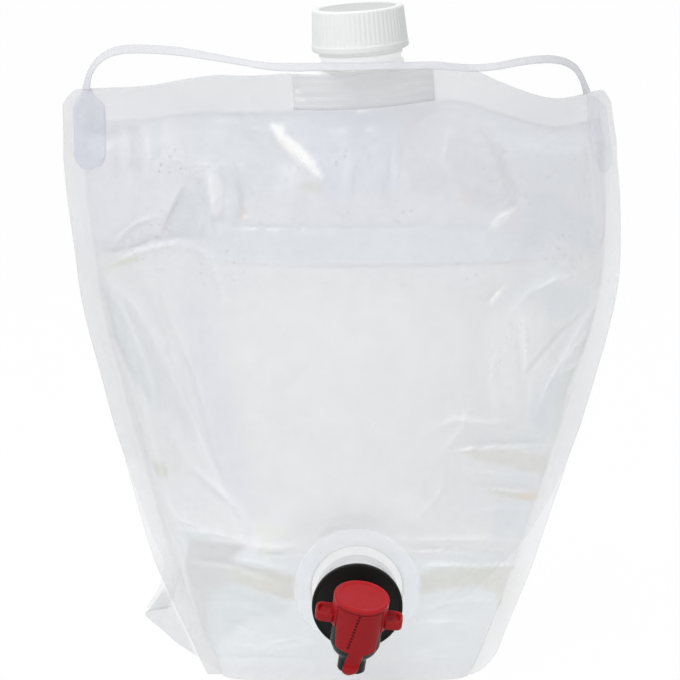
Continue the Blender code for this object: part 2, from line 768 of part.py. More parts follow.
def strap_route():
    """The middle line of the free strap, from the left head to the right one, as world points."""
    left = strap_head(-1)
    right = strap_head(1)
    spout = np.array(spout_matrix())
    neck = spout[:3, :3] @ np.array([0, 0, BOAT_TOP + COLLAR_HEIGHT]) + spout[:3, 3]
    front = neck[1] - COLLAR_RADIUS - STRAP_NECK_CLEARANCE - STRAP_WIDTH / 2
    level = BAG_HEIGHT + STRAP_DIP
    between = (left[1] + front) / 2
    shares = (
        (0, left[1], left[2] + STRAP_HEAD_GAP),
        (-0.007, left[1], left[2] + 0.31 * STRAP_RISE),
        (0.017, left[1], left[2] + 0.73 * STRAP_RISE),
        (0.096, left[1] - STRAP_BOW, left[2] + STRAP_RISE),
        (0.22, left[1] - 2 * STRAP_BOW, left[2] + 0.82 * STRAP_RISE),
        (0.31, between, left[2] + 0.63 * STRAP_RISE),
        (0.42, front, level),
        (0.55, front, level),
        (0.67, front, level),
        (0.77, 0.84 * front + 0.16 * right[1], level),
        (0.857, 0.72 * front + 0.28 * right[1], right[2] + STRAP_RIGHT_RISE),
        (0.920, 0.42 * front + 0.58 * right[1], right[2] + 0.84 * STRAP_RIGHT_RISE),
        (0.965, 0.12 * front + 0.88 * right[1], right[2] + 0.40 * STRAP_RIGHT_RISE),
        (1, right[1], right[2] + STRAP_HEAD_GAP),
    )
    span = right[0] - left[0]
    return np.array([(left[0] + share * span, y, z) for share, y, z in shares])


def through(points, count):
    """Evenly spaced points on a smooth curve through the given ones."""
    padded = np.concatenate([[2 * points[0] - points[1]], points, [2 * points[-1] - points[-2]]])
    fine = []
    for a, b, c, d in zip(padded, padded[1:], padded[2:], padded[3:]):
        for t in np.linspace(0, 1, 16, endpoint=False):
            fine.append(0.5 * (2 * b + (c - a) * t + (2 * a - 5 * b + 4 * c - d) * t * t
                               + (3 * b - a - 3 * c + d) * t ** 3))
    fine = np.array(fine + [points[-1]])
    along = np.concatenate([[0], np.cumsum(np.linalg.norm(np.diff(fine, axis=0), axis=1))])
    places = np.linspace(0, along[-1], count)
    return np.stack([np.interp(places, along, fine[:, k]) for k in range(3)], axis=1), along[-1]


def make_strap_band(material):
    """The free part of the strap: a flat strip that faces forwards."""
    line, _ = through(strap_route(), 64)
    tangent = np.gradient(line, axis=0)
    tangent /= np.linalg.norm(tangent, axis=1, keepdims=True)
    tangent[0] = (0, 0, 1)
    tangent[-1] = (0, 0, -1)
    rings = []
    for middle, ahead in zip(line, tangent):
        flat = np.array([0.0, -1.0, 0.0])
        flat -= ahead * (flat @ ahead)
        flat /= np.linalg.norm(flat)
        wide = np.cross(flat, ahead) * STRAP_WIDTH / 2
        flat *= STRAP_THICKNESS / 2
        rings.append([middle + wide + flat, middle + wide - flat,
                      middle - wide - flat, middle - wide + flat])
    return make_object("strap_band", *loft(rings), material)


# Tap gland, in a frame at the film's outer face with -Y forwards


def make_gland(material, parent):
    """The gland: a disc welded behind the film, a step in its hole and a neck with two grip rings."""
    back = -FILM - FIT_GAP
    profile = [
        (GLAND_BORE, back - GLAND_DISC),
        (GLAND_DISC_RADIUS - GLAND_EDGE, back - GLAND_DISC),
        (GLAND_DISC_RADIUS, back - GLAND_DISC + GLAND_EDGE),
        (GLAND_DISC_RADIUS - GLAND_EDGE, back),
        (GLAND_STEP_RADIUS, back),
        (GLAND_STEP_RADIUS, GLAND_STEP),
        (GLAND_NECK_RADIUS, GLAND_STEP + GLAND_EDGE),
    ]
    for share in GLAND_RING_SHARES:
        at = GLAND_LENGTH * share
        profile += [
            (GLAND_NECK_RADIUS, at),
            (GLAND_RING_RADIUS, at + GLAND_EDGE),
            (GLAND_RING_RADIUS, at + GLAND_RING - GLAND_EDGE),
            (GLAND_NECK_RADIUS, at + GLAND_RING),
        ]
    profile += [
        (GLAND_NECK_RADIUS, GLAND_LENGTH - GLAND_EDGE),
        (GLAND_NECK_RADIUS - GLAND_EDGE, GLAND_LENGTH),
        (GLAND_BORE, GLAND_LENGTH),
    ]
    return make_object("tap_gland", *turned(profile, ROUND_SEGMENTS, True, "Y"), material, parent)


# Tap, in a frame on its barrel's axis with -Y forwards


def box_solid(low, high):
    """Points and faces of a box between two corners."""
    (x0, y0, z0), (x1, y1, z1) = low, high
    bottom = [(x0, y0, z0), (x1, y0, z0), (x1, y1, z0), (x0, y1, z0)]
    top = [(x, y, z1) for x, y, _ in bottom]
    return loft([bottom, top])


def make_tap_body(material, parent):
    """Flange and spigot, the duct to the barrel, the barrel with its cam track, and the outlet."""
    face = -BARREL_FROM_FLANGE
    back = face - FLANGE
    end = back - SPIGOT_LENGTH
    rib = SPIGOT_RADIUS + SPIGOT_RIB
    spigot = [
        (SPIGOT_RADIUS - FLANGE_EDGE, end),
        (SPIGOT_RADIUS, end + FLANGE_EDGE),
    ]
    for share in (0.3, 0.6):
        at = end + SPIGOT_LENGTH * share
        spigot += [(SPIGOT_RADIUS, at), (rib, at + FLANGE_EDGE), (SPIGOT_RADIUS, at + 2 * FLANGE_EDGE)]
    spigot += [
        (SPIGOT_RADIUS, back),
        (FLANGE_RADIUS - FLANGE_EDGE, back),
        (FLANGE_RADIUS, back + FLANGE_EDGE),
        (FLANGE_RADIUS, face - FLANGE_EDGE),
        (FLANGE_RADIUS - FLANGE_EDGE, face),
    ]
    body = make_object("tap_body", *turned(spigot, ROUND_SEGMENTS, False, "Y"), material, parent)
    hollow = turned([(SPIGOT_BORE, end - OVERRUN), (SPIGOT_BORE, back + FLANGE_EDGE)],
                    ROUND_SEGMENTS, False, "Y")
    combine(body, make_cutter("spigot_bore", *hollow, parent=parent), "DIFFERENCE")
    barrel = [
        (OUTLET_RADIUS - FLANGE_EDGE, -OUTLET_END),
        (OUTLET_RADIUS, -OUTLET_END + FLANGE_EDGE),
        (OUTLET_RADIUS, -OUTLET_TOP),
        ((OUTLET_RADIUS + BARREL_RADIUS) / 2 + FLANGE_EDGE, -(OUTLET_TOP + BARREL_FOOT) / 2 - FLANGE_EDGE),
        (BARREL_RADIUS, -BARREL_FOOT),
        (BARREL_RADIUS, BARREL_TOP - FLANGE_EDGE),
        (BARREL_RADIUS - FLANGE_EDGE, BARREL_TOP),
    ]
    half = DUCT_WIDTH / 2
    duct = box_solid((-half, 0, -DUCT_BOTTOM), (half, BARREL_FROM_FLANGE + FLANGE / 2, -DUCT_TOP))
    combine(body, make_cutter("duct_solid", *duct, parent=parent), "UNION")
    solid = turned(barrel, ROUND_SEGMENTS, False)
    combine(body, make_cutter("barrel_solid", *solid, parent=parent), "UNION")
    chamber = [
        (OUTLET_BORE, -OUTLET_END - OVERRUN),
        (OUTLET_BORE, -SEAT_DROP),
        (BARREL_BORE, -SEAT_DROP + FLANGE_EDGE),
        (BARREL_BORE, BARREL_TOP + OVERRUN),
    ]
    cut = turned(chamber, ROUND_SEGMENTS, False)
    combine(body, make_cutter("chamber", *cut, parent=parent), "DIFFERENCE")
    half -= DUCT_WALL
    low = (-half, BARREL_BORE * 0.5, -DUCT_BOTTOM + DUCT_WALL)
    high = (half, BARREL_FROM_FLANGE + FLANGE + OVERRUN, -DUCT_TOP - DUCT_WALL)
    combine(body, make_cutter("duct_bore", *box_solid(low, high), parent=parent), "DIFFERENCE")
    combine(body, make_cutter("cam_solid", *cam_track(), parent=parent), "UNION")
    return body


def cam_height(angle):
    """The cam track's height at an angle from the crosshead's rest: two rises of a quarter turn."""
    along = angle % math.pi
    if along > math.pi - CAM_LAND:
        along -= math.pi
    if along > QUARTER_TURN + CAM_LAND:
        return CAM_LOW
    return CAM_LOW + VALVE_TRAVEL * min(max(along / QUARTER_TURN, 0), 1)


def cam_track():
    """A ring on the barrel's wall whose top face rises twice round the barrel."""
    outer = BARREL_BORE + FIT_GAP
    rings = [[], [], [], []]
    for k in range(CAM_SEGMENTS):
        angle = 2 * math.pi * k / CAM_SEGMENTS
        across = math.cos(angle)
        along = math.sin(angle)
        top = cam_height(angle)
        rings[0].append((CAM_BORE * across, CAM_BORE * along, -CAM_BASE))
        rings[1].append((outer * across, outer * along, -CAM_BASE))
        rings[2].append((outer * across, outer * along, top))
        rings[3].append((CAM_BORE * across, CAM_BORE * along, top))
    return loft(rings, wrap=True)


def make_stem(material, parent):
    """The valve stem: a round rod with a flat crosshead that rides on the cam track."""
    top = STEM_REST + CROSSHEAD_HEIGHT + STEM_RADIUS
    edge = STEM_RADIUS / 4
    rod = [
        (STEM_RADIUS - edge, seal_top() + FIT_GAP),
        (STEM_RADIUS, seal_top() + FIT_GAP + edge),
        (STEM_RADIUS, top - edge),
        (STEM_RADIUS - edge, top),
    ]
    stem = make_object("valve_stem", *turned(rod, 24, False), material, parent)
    low = (-CROSSHEAD_REACH, -CROSSHEAD_WIDTH / 2, STEM_REST)
    high = (CROSSHEAD_REACH, CROSSHEAD_WIDTH / 2, STEM_REST + CROSSHEAD_HEIGHT)
    combine(stem, make_cutter("crosshead", *box_solid(low, high), parent=parent), "UNION")
    return stem


def seal_top():
    """The height of the outlet seal's top face when the tap is shut."""
    return -SEAT_DROP + FIT_GAP + SEAL_HEIGHT


def make_seal(material, parent):
    """The soft plug that shuts the outlet, under the stem."""
    foot = -SEAT_DROP + FIT_GAP
    edge = SEAL_HEIGHT / 4
    profile = [
        (SEAL_RADIUS - edge, foot + edge / 2),
        (SEAL_RADIUS, foot + 2 * edge),
        (SEAL_RADIUS - edge, seal_top() - edge),
        (STEM_RADIUS, seal_top()),
    ]
    return make_object("outlet_seal", *turned(profile, SMALL_SEGMENTS, False), material, parent)


def make_diaphragm(material, parent):
    """The rubber dome under the cam track, which keeps water out of the barrel's top."""
    rim_top = -CAM_BASE - FIT_GAP
    rim = BARREL_BORE - FIT_GAP
    hub = STEM_RADIUS + FIT_GAP
    outer_hub = hub + DIAPHRAGM_HUB
    hub_top = rim_top - DIAPHRAGM_DIP + DIAPHRAGM
    profile = [
        (rim, rim_top),
        (rim, rim_top - DIAPHRAGM_RIM),
        (rim - DIAPHRAGM_RIM, rim_top - DIAPHRAGM_RIM),
        (outer_hub, rim_top - DIAPHRAGM_DIP - DIAPHRAGM),
        (hub, rim_top - DIAPHRAGM_DIP - DIAPHRAGM),
        (hub, hub_top),
        (outer_hub, hub_top),
        (rim - DIAPHRAGM_RIM - DIAPHRAGM, rim_top),
    ]
    return make_object("valve_diaphragm", *turned(profile, SMALL_SEGMENTS, True), material, parent)


def handle_angles():
    """Angles round the handle from its back, with a pair of close ones where the skirt steps up."""
    step = SHROUD_HALF_ANGLE + SHROUD_SIDE_GAP
    close = SKIRT_STEP_ANGLE
    back = np.linspace(-math.pi + step + close, math.pi - step - close, 29)
    front = np.linspace(math.pi - step, math.pi + step, 13)
    return np.concatenate([back, front])


def make_handle(material, parent):
    """The turning cap: a sloped top, a skirt cut away at the front, two wings and a drive fork."""
    angles = handle_angles()
    step = SHROUD_HALF_ANGLE + SHROUD_SIDE_GAP
    in_front = np.abs(angles - math.pi) < step + math.radians(0.1)
    groove = GROOVE_TOP + HANDLE_TOP_SLOPE * HANDLE_RADIUS * np.cos(angles)
    foot = np.where(in_front, groove, HANDLE_SKIRT)
    inner = BARREL_RADIUS + HANDLE_CLEARANCE
    soft = HANDLE_EDGE * (1 - math.sqrt(0.5))

    def ring(radius, heights, slope=0.0):
        x = radius * np.sin(angles)
        y = radius * np.cos(angles)
        return [tuple(point) for point in np.stack([x, y, heights + slope * y], axis=1)]

    flat = 0 * angles
    rings = [
        ring(HANDLE_RADIUS * 0.30, flat + HANDLE_TOP - HANDLE_DISH, HANDLE_TOP_SLOPE),
        ring(HANDLE_RADIUS - 2 * HANDLE_EDGE, flat + HANDLE_TOP - HANDLE_DISH, HANDLE_TOP_SLOPE),
        ring(HANDLE_RADIUS - 1.6 * HANDLE_EDGE, flat + HANDLE_TOP, HANDLE_TOP_SLOPE),
        ring(HANDLE_RADIUS - HANDLE_EDGE, flat + HANDLE_TOP, HANDLE_TOP_SLOPE),
        ring(HANDLE_RADIUS - soft, flat + HANDLE_TOP - soft, HANDLE_TOP_SLOPE),
        ring(HANDLE_RADIUS, flat + HANDLE_TOP - HANDLE_EDGE, HANDLE_TOP_SLOPE),
        ring(HANDLE_RADIUS, foot),
        ring(inner, foot),
        ring(inner, flat + HANDLE_CEILING, HANDLE_TOP_SLOPE),
    ]
    handle = make_object("tap_handle", *loft(rings), material, parent)
    for side in (-1, 1):
        wing = make_cutter(f"wing_{side}", *wing_solid(side), parent=parent)
        combine(handle, wing, "UNION")
        tray = make_cutter(f"wing_dish_{side}", *wing_dish(side), parent=parent)
        combine(handle, tray, "DIFFERENCE")
    for number, (low, high) in enumerate(fork_blades()):
        blade = make_cutter(f"fork_blade_{number}", *box_solid(low, high), parent=parent)
        combine(handle, blade, "UNION")
    return handle


def wing_outline(reach, half_depth, side):
    """A rounded tongue that runs sideways out of the skirt, as (x, y) pairs."""
    root = BARREL_RADIUS + HANDLE_CLEARANCE + FIT_GAP
    corner = half_depth * 0.62
    points = [(root, -half_depth)]
    for k in range(5):
        angle = -math.pi / 2 + k * math.pi / 8
        points.append((reach - corner + corner * math.cos(angle), -half_depth + corner + corner * math.sin(angle)))
    for k in range(5):
        angle = k * math.pi / 8
        points.append((reach - corner + corner * math.cos(angle), half_depth - corner + corner * math.sin(angle)))
    points.append((root, half_depth))
    return [(side * x, y) for x, y in points]


def wing_level(y):
    """The height of the wing's plate: it rises to the back."""
    return WING_FRONT + WING_RISE * (y / WING_DEPTH + 0.5)


def wing_solid(side):
    """A wing with a raised rim, before it is dished."""
    outline = wing_outline(WING_REACH, WING_DEPTH / 2, side)
    low = [(x, y, wing_level(y) - WING_PLATE / 2) for x, y in outline]
    high = [(x, y, wing_level(y) + WING_PLATE / 2 + WING_RIM) for x, y in outline]
    return loft([low, high])


def wing_dish(side):
    """What is scooped out of the wing inside its rim."""
    outline = wing_outline(WING_REACH - WING_RIM_WALL, WING_DEPTH / 2 - WING_RIM_WALL, side)
    root = HANDLE_RADIUS + FIT_GAP
    outline = [(side * max(side * x, root), y) for x, y in outline]
    low = [(x, y, wing_level(y) + WING_PLATE / 2) for x, y in outline]
    high = [(x, y, wing_level(y) + WING_PLATE / 2 + WING_RIM + OVERRUN) for x, y in outline]
    return loft([low, high])


def fork_blades():
    """Four blades under the handle's top that grip the crosshead's flat sides."""
    near = CROSSHEAD_WIDTH / 2 + FORK_CLEARANCE
    far = near + FORK_BLADE
    foot = CAM_LOW + VALVE_TRAVEL + FIT_GAP
    top = HANDLE_CEILING + (HANDLE_TOP - HANDLE_CEILING) / 3
    blades = []
    for x0, x1 in ((-FORK_OUTER, -FORK_INNER), (FORK_INNER, FORK_OUTER)):
        for y0, y1 in ((-far, -near), (near, far)):
            blades.append(((x0, y0, foot), (x1, y1, top)))
    return blades


def shroud_rows():
    """The shroud's rows, top to bottom: height, centre, half width, distance forwards, thickness."""
    shell = HANDLE_RADIUS * math.sin(SHROUD_HALF_ANGLE)
    wall = HANDLE_RADIUS - BARREL_RADIUS - HANDLE_CLEARANCE
    tab_start = -SHROUD_FOOT + SHROUD_CORNER
    rows = []
    for share in (0, 0.2, 0.4, 0.6, 0.8, 1):
        height = GROOVE_TOP - GROOVE + (tab_start - GROOVE_TOP + GROOVE) * share
        rows.append((height, 0, shell - SHROUD_TAPER * share * share, 0, wall))
    narrow = shell - SHROUD_TAPER - TAB_WIDTH / 2
    for share in (0.35, 0.65, 0.85, 1):
        half = TAB_WIDTH / 2 + narrow * (1 - share ** 3)
        rows.append((tab_start - SHROUD_CORNER * share, TAB_OFFSET * share ** 4, half, 0, wall))
    for share in (0.2, 0.45, 0.65, 0.78, 0.88, 0.95, 1):
        past = max(share - 0.62, 0) / 0.40
        thick = wall + TAB_LIP * float(smooth((share - 0.50) / 0.15)) * math.sqrt(1 - past * past)
        half = TAB_WIDTH / 2 * math.sqrt(1 - past ** 3)
        out = TAB_STANDOFF * float(smooth(share))
        rows.append((-SHROUD_FOOT - TAB_LENGTH * share, TAB_OFFSET - TAB_LEAN * share, half, out, thick))
    return rows


def make_shroud(material, parent):
    """The tear-off shroud over the barrel's front, with its pull tab."""
    inner_radius = BARREL_RADIUS + HANDLE_CLEARANCE
    lines = np.linspace(-1, 1, 17)
    outer, inner = [], []
    for height, centre, half, out, thick in shroud_rows():
        angle = math.asin(half / HANDLE_RADIUS) * lines
        bend = HANDLE_RADIUS * np.cos(angle)
        flat = inner_radius * np.cos(angle)
        level = height - HANDLE_TOP_SLOPE * bend * max(height, 0) / GROOVE_TOP
        across = centre + HANDLE_RADIUS * np.sin(angle)
        outer.append(np.stack([across, -bend - out - (thick - HANDLE_RADIUS + inner_radius), level], axis=1))
        inner.append(np.stack([centre + inner_radius * np.sin(angle), -flat - out, level], axis=1))
    return make_object("tamper_shroud", *thick_grid(np.array(outer), np.array(inner)), material, parent)


def spout_matrix():
    """Where the spout stands on the settled bag."""
    return Matrix.Translation((TOP_SWAY - ORIGIN_RIGHT, ORIGIN_FORWARDS, 0)) @ lean_matrix()


def gland_matrix():
    """The gland's frame, on the front film's outer face."""
    at = Matrix.Translation((tap_across(), ORIGIN_FORWARDS - pad_distance(), TAP_HEIGHT))
    return at @ Matrix.Rotation(TAP_DROOP, 4, "X")


def tap_across():
    """How far to the right the tap sits on the leaning bag."""
    swayed = sway(np.array([[TAP_OFFSET, 0.0, TAP_HEIGHT]]))
    return float(swayed[0, 0]) - ORIGIN_RIGHT


def tap_matrix():
    """The tap's frame, on the barrel's axis: it is turned a little in the gland."""
    forwards = Matrix.Translation((0, -BARREL_FROM_FILM, 0))
    return gland_matrix() @ Matrix.Rotation(TAP_ROLL, 4, "Y") @ forwards


def main():
    clear_scene()
    film = make_material("clear_film", (0.80, 0.83, 0.86), 0.18, alpha=0.35)
    strap = make_material("strap_film", (0.72, 0.76, 0.84), 0.30, alpha=0.75)
    white = make_material("white_plastic", (0.80, 0.81, 0.80), 0.45)
    liner = make_material("liner_foam", (0.86, 0.86, 0.84), 0.70)
    natural = make_material("natural_plastic", (0.78, 0.81, 0.84), 0.35, alpha=0.80)
    black = make_material("black_plastic", (0.012, 0.012, 0.012), 0.42)
    red = make_material("red_plastic", (0.42, 0.030, 0.038), 0.38)
    stem = make_material("stem_plastic", (0.75, 0.75, 0.72), 0.45)
    rubber = make_material("valve_rubber", (0.10, 0.10, 0.11), 0.70)

    spout_frame = make_frame("spout_frame", spout_matrix())
    gland_frame = make_frame("gland_frame", gland_matrix())
    tap_frame = make_frame("tap_frame", tap_matrix())

    make_panel("front_panel", True, film)
    make_panel("back_panel", False, film)
    make_gusset(film)
    make_strap_end("strap_left_end", -1, strap)
    make_strap_end("strap_right_end", 1, strap)
    make_strap_band(strap)
    make_spout(white, spout_frame)
    make_liner(liner, spout_frame)
    make_cap(white, spout_frame)
    make_gland(natural, gland_frame)
    make_tap_body(black, tap_frame)
    make_handle(red, tap_frame)
    make_shroud(red, tap_frame)
    make_stem(stem, tap_frame)
    make_seal(rubber, tap_frame)
    make_diaphragm(rubber, tap_frame)


main()
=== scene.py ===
"""The looks of the collapsible water carrier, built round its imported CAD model.

Metres, +Z up, the tap faces -Y. The films, the strap and the moulded pieces are surfaces worked out
with numpy from the same sizes as the CAD model's, and they stand for its plain solids.
"""

from __future__ import annotations

import functools
import logging
import math
from dataclasses import dataclass, field
from enum import Enum

import bmesh  # noqa: E402
import bpy  # noqa: E402
import numpy as np  # noqa: E402
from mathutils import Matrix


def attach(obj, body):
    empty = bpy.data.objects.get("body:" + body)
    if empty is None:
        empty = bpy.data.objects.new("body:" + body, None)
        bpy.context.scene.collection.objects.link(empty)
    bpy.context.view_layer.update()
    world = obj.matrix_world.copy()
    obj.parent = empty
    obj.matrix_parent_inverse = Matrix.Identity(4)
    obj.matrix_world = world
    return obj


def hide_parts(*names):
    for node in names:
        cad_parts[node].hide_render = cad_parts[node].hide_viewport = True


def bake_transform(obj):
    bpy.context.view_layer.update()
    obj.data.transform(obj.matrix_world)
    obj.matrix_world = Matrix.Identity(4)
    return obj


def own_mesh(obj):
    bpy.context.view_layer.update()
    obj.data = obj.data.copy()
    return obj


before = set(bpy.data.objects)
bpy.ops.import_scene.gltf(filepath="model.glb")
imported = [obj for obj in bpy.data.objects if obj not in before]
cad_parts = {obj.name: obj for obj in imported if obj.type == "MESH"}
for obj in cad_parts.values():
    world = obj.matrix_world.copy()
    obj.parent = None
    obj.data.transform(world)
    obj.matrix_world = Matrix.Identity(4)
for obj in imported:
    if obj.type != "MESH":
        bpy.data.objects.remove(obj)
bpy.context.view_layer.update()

Array = np.ndarray
Rgb = tuple[float, float, float]
Pair = tuple[float, float]

logging.basicConfig(level=logging.INFO, format="%(message)s")
LOG = logging.getLogger("carrier")


class Axis(Enum):
    """Which way the height of a turned profile runs."""

    UP = "up"
    FORWARDS = "forwards"


class Fold(Enum):
    """The cross-section of a crease in the film."""

    ROUND = "round"
    SHARP = "sharp"
    STEP = "step"


# Arithmetic on arrays


def eased(value: Array | float) -> Array:
    """An even ramp from 0 to 1: 3v^2 - 2v^3, with v kept between 0 and 1."""
    value = np.clip(value, 0.0, 1.0)
    return value * value * (3.0 - 2.0 * value)


def ramp(value: Array | float, start: float, run: float) -> Array:
    """An even ramp that starts at a value and takes this run. A negative run falls towards the start."""
    return eased((value - start) / run)


def along_table(value: Array | float, pairs: tuple[Pair, ...]) -> Array:
    """A smooth line through a table of (place, amount).

    Args:
        value: Where to read the table.
        pairs: The table, with its places in rising order.

    Returns:
        The cubic through the nearest two entries, h00 a + h10 m + h01 b + h11 n, whose slopes m and n
        are the mean slopes at those entries, or 0 at the table's ends and its peaks.
    """
    x, y = np.array(pairs, float).T
    step = np.diff(x)
    slope = np.diff(y) / step
    middle = np.where(slope[1:] * slope[:-1] > 0, (slope[1:] + slope[:-1]) / 2, 0.0)
    tangent = np.concatenate([[slope[0]], middle, [slope[-1]]])
    value = np.clip(value, x[0], x[-1])
    at = np.clip(np.searchsorted(x, value, side="right") - 1, 0, len(x) - 2)
    t = (value - x[at]) / step[at]
    a, b, m, n = y[at], y[at + 1], tangent[at] * step[at], tangent[at + 1] * step[at]
    first = a * (1 + 2 * t) * (1 - t) ** 2 + m * t * (1 - t) ** 2
    return first + b * t * t * (3 - 2 * t) + n * t * t * (t - 1)


def waves(across: Array, up: Array, length: float, seed: int, count: int = 9) -> Array:
    """A gentle unevenness between about -1 and 1.

    Args:
        across: First coordinate.
        up: Second coordinate.
        length: The middle wavelength.
        seed: Picks the pattern.
        count: How many waves are added.

    Returns:
        The sum of sin(k . p + phase) over waves of seeded direction and length, divided by the root
        of their count.
    """
    dice = np.random.default_rng(seed)
    total = np.zeros(np.broadcast(across, up).shape)
    for turn, size, phase in zip(
        dice.uniform(0, math.pi, count), dice.uniform(0.6, 1.7, count), dice.uniform(0, 2 * math.pi, count)
    ):
        k = 2 * math.pi / (length * size)
        total = total + np.sin(k * (across * math.cos(turn) + up * math.sin(turn)) + phase)
    return total / math.sqrt(count)


def softened(profile: list[Pair] | Array, reach: float, steps: int = 5, wrap: bool = False) -> Array:
    """A profile with its corners rounded.

    Args:
        profile: Corner points.
        reach: How far along each edge a corner is cut back, at most 0.45 of the edge.
        steps: Points on each rounded corner.
        wrap: Whether the last point joins the first.

    Returns:
        Points on (1-s)^2 a + 2 s (1-s) p + s^2 b for each corner p, where a and b lie on its edges.
    """
    corner = np.array(profile, float)
    before, after = np.roll(corner, 1, axis=0), np.roll(corner, -1, axis=0)
    to_before, to_after = before - corner, after - corner
    length_before = np.linalg.norm(to_before, axis=1, keepdims=True)
    length_after = np.linalg.norm(to_after, axis=1, keepdims=True)
    cut = np.minimum(reach, 0.45 * np.minimum(length_before, length_after))
    a = corner + to_before / np.maximum(length_before, 1e-9) * cut
    b = corner + to_after / np.maximum(length_after, 1e-9) * cut
    s = np.linspace(0, 1, steps)[None, :, None]
    curve = (1 - s) ** 2 * a[:, None] + 2 * s * (1 - s) * corner[:, None] + s * s * b[:, None]
    if wrap:
        return curve.reshape(-1, corner.shape[1])
    inner = curve[1:-1].reshape(-1, corner.shape[1])
    return np.concatenate([corner[:1], inner, corner[-1:]])


def turn_matrix(angle: float, axis: str) -> Array:
    """A 4 x 4 turn about a main axis through the origin."""
    i, j = {"X": (1, 2), "Y": (2, 0), "Z": (0, 1)}[axis]
    matrix = np.eye(4)
    matrix[i, i] = matrix[j, j] = math.cos(angle)
    matrix[i, j], matrix[j, i] = -math.sin(angle), math.sin(angle)
    return matrix


def shift_matrix(x: float, y: float, z: float) -> Array:
    """A 4 x 4 shift."""
    matrix = np.eye(4)
    matrix[:3, 3] = (x, y, z)
    return matrix


# Surfaces and pieces


@dataclass
class Surface:
    """Points and four-cornered faces, with named numbers or colours on the points."""

    points: Array
    faces: Array
    marks: dict[str, Array] = field(default_factory=dict)

    @classmethod
    def grid(cls, points: Array, wrap_rows: bool = False, wrap_columns: bool = False) -> "Surface":
        """A grid of points as a surface.

        Args:
            points: Rows x columns x 3.
            wrap_rows: Whether the last row joins the first.
            wrap_columns: Whether the last column joins the first.

        Returns:
            Faces (i, j), (i, j+1), (i+1, j+1), (i+1, j).
        """
        rows, columns = points.shape[:2]
        i = np.arange(rows if wrap_rows else rows - 1)[:, None]
        j = np.arange(columns if wrap_columns else columns - 1)[None, :]
        i2, j2 = (i + 1) % rows, (j + 1) % columns
        corners = [i * columns + j, i * columns + j2, i2 * columns + j2, i2 * columns + j]
        faces = np.stack([np.broadcast_to(c, (i.size, j.size)) for c in corners], axis=-1).reshape(-1, 4)
        return cls(points.reshape(-1, 3), faces)

    @classmethod
    def tube(cls, rings: Array) -> "Surface":
        """Closed rings joined in order, with both ends closed at the ring's middle."""
        first, last = rings[:1].mean(axis=1, keepdims=True), rings[-1:].mean(axis=1, keepdims=True)
        ends = [np.broadcast_to(end, (1, *rings.shape[1:])) for end in (first, last)]
        return cls.grid(np.concatenate([ends[0], rings, ends[1]]), wrap_columns=True)

    @classmethod
    def turned(
        cls, profile: Array, matrix: Array, along: Axis, segments: int = 128, wrap: bool = True
    ) -> "Surface":
        """A profile of (radius r, height h) turned about an axis.

        Args:
            profile: The points in order.
            matrix: Where the axis stands.
            along: UP gives (r sin a, r cos a, h), FORWARDS gives (r sin a, -h, r cos a).
            segments: Steps round the axis.
            wrap: Whether the profile is a closed loop. Otherwise its ends lie on the axis.

        Returns:
            The surface, moved by the matrix.
        """
        a = np.linspace(0, 2 * math.pi, segments, endpoint=False)[None, :]
        r, h = profile[:, :1], profile[:, 1:2] + 0 * a
        if along is Axis.UP:
            points = np.stack([r * np.sin(a), r * np.cos(a), h], axis=2)
        else:
            points = np.stack([r * np.sin(a), -h, r * np.cos(a)], axis=2)
        return cls.grid(points, wrap_rows=wrap, wrap_columns=True).placed(matrix)

    @classmethod
    def shell(cls, outer: Array, inner: Array) -> "Surface":
        """The closed skin between two grids of the same shape."""
        rows, columns = outer.shape[:2]
        upper, lower = cls.grid(outer), cls.grid(inner)
        index = np.arange(rows * columns).reshape(rows, columns)
        edge = np.concatenate([index[0, :-1], index[:-1, -1], index[-1, :0:-1], index[:0:-1, 0]])
        after = np.roll(edge, -1)
        below = rows * columns
        rim = np.stack([after, edge, edge + below, after + below], axis=1)
        faces = np.concatenate([upper.faces, lower.faces[:, ::-1] + below, rim])
        return cls(np.concatenate([upper.points, lower.points]), faces)

    def placed(self, matrix: Array) -> "Surface":
        """The surface with its points moved by a 4 x 4 matrix."""
        return Surface(self.points @ matrix[:3, :3].T + matrix[:3, 3], self.faces, self.marks)

    def joined(self, *others: "Surface") -> "Surface":
        """This surface and others as one, without the marks."""
        parts = (self, *others)
        starts = np.cumsum([0] + [len(part.points) for part in parts[:-1]])
        faces = np.concatenate([part.faces + start for part, start in zip(parts, starts)])
        return Surface(np.concatenate([part.points for part in parts]), faces)


def make_mesh(name: str, surface: Surface) -> bpy.types.Object:
    """Puts a surface into a new object.

    Args:
        name: The object's name.
        surface: Its points, faces and marks.

    Returns:
        The object, with doubled points merged and its faces pointing outwards.
    """
    mesh = bpy.data.meshes.new(name)
    mesh.from_pydata(surface.points.tolist(), [], surface.faces.tolist())
    for mark, values in surface.marks.items():
        kind, key = ("FLOAT_COLOR", "color") if values.ndim == 2 else ("FLOAT", "value")
        layer = mesh.attributes.new(mark, kind, "POINT")
        if values.ndim == 2:
            values = np.concatenate([values, np.ones((len(values), 1))], axis=1)
        layer.data.foreach_set(key, values.astype(np.float32).ravel())
    work = bmesh.new()
    work.from_mesh(mesh)
    bmesh.ops.remove_doubles(work, verts=work.verts, dist=1e-6)
    bmesh.ops.dissolve_degenerate(work, edges=work.edges, dist=1e-7)
    bmesh.ops.recalc_face_normals(work, faces=work.faces)
    work.to_mesh(mesh)
    work.free()
    mesh.shade_smooth()
    piece = bpy.data.objects.new(name, mesh)
    bpy.context.scene.collection.objects.link(piece)
    return piece


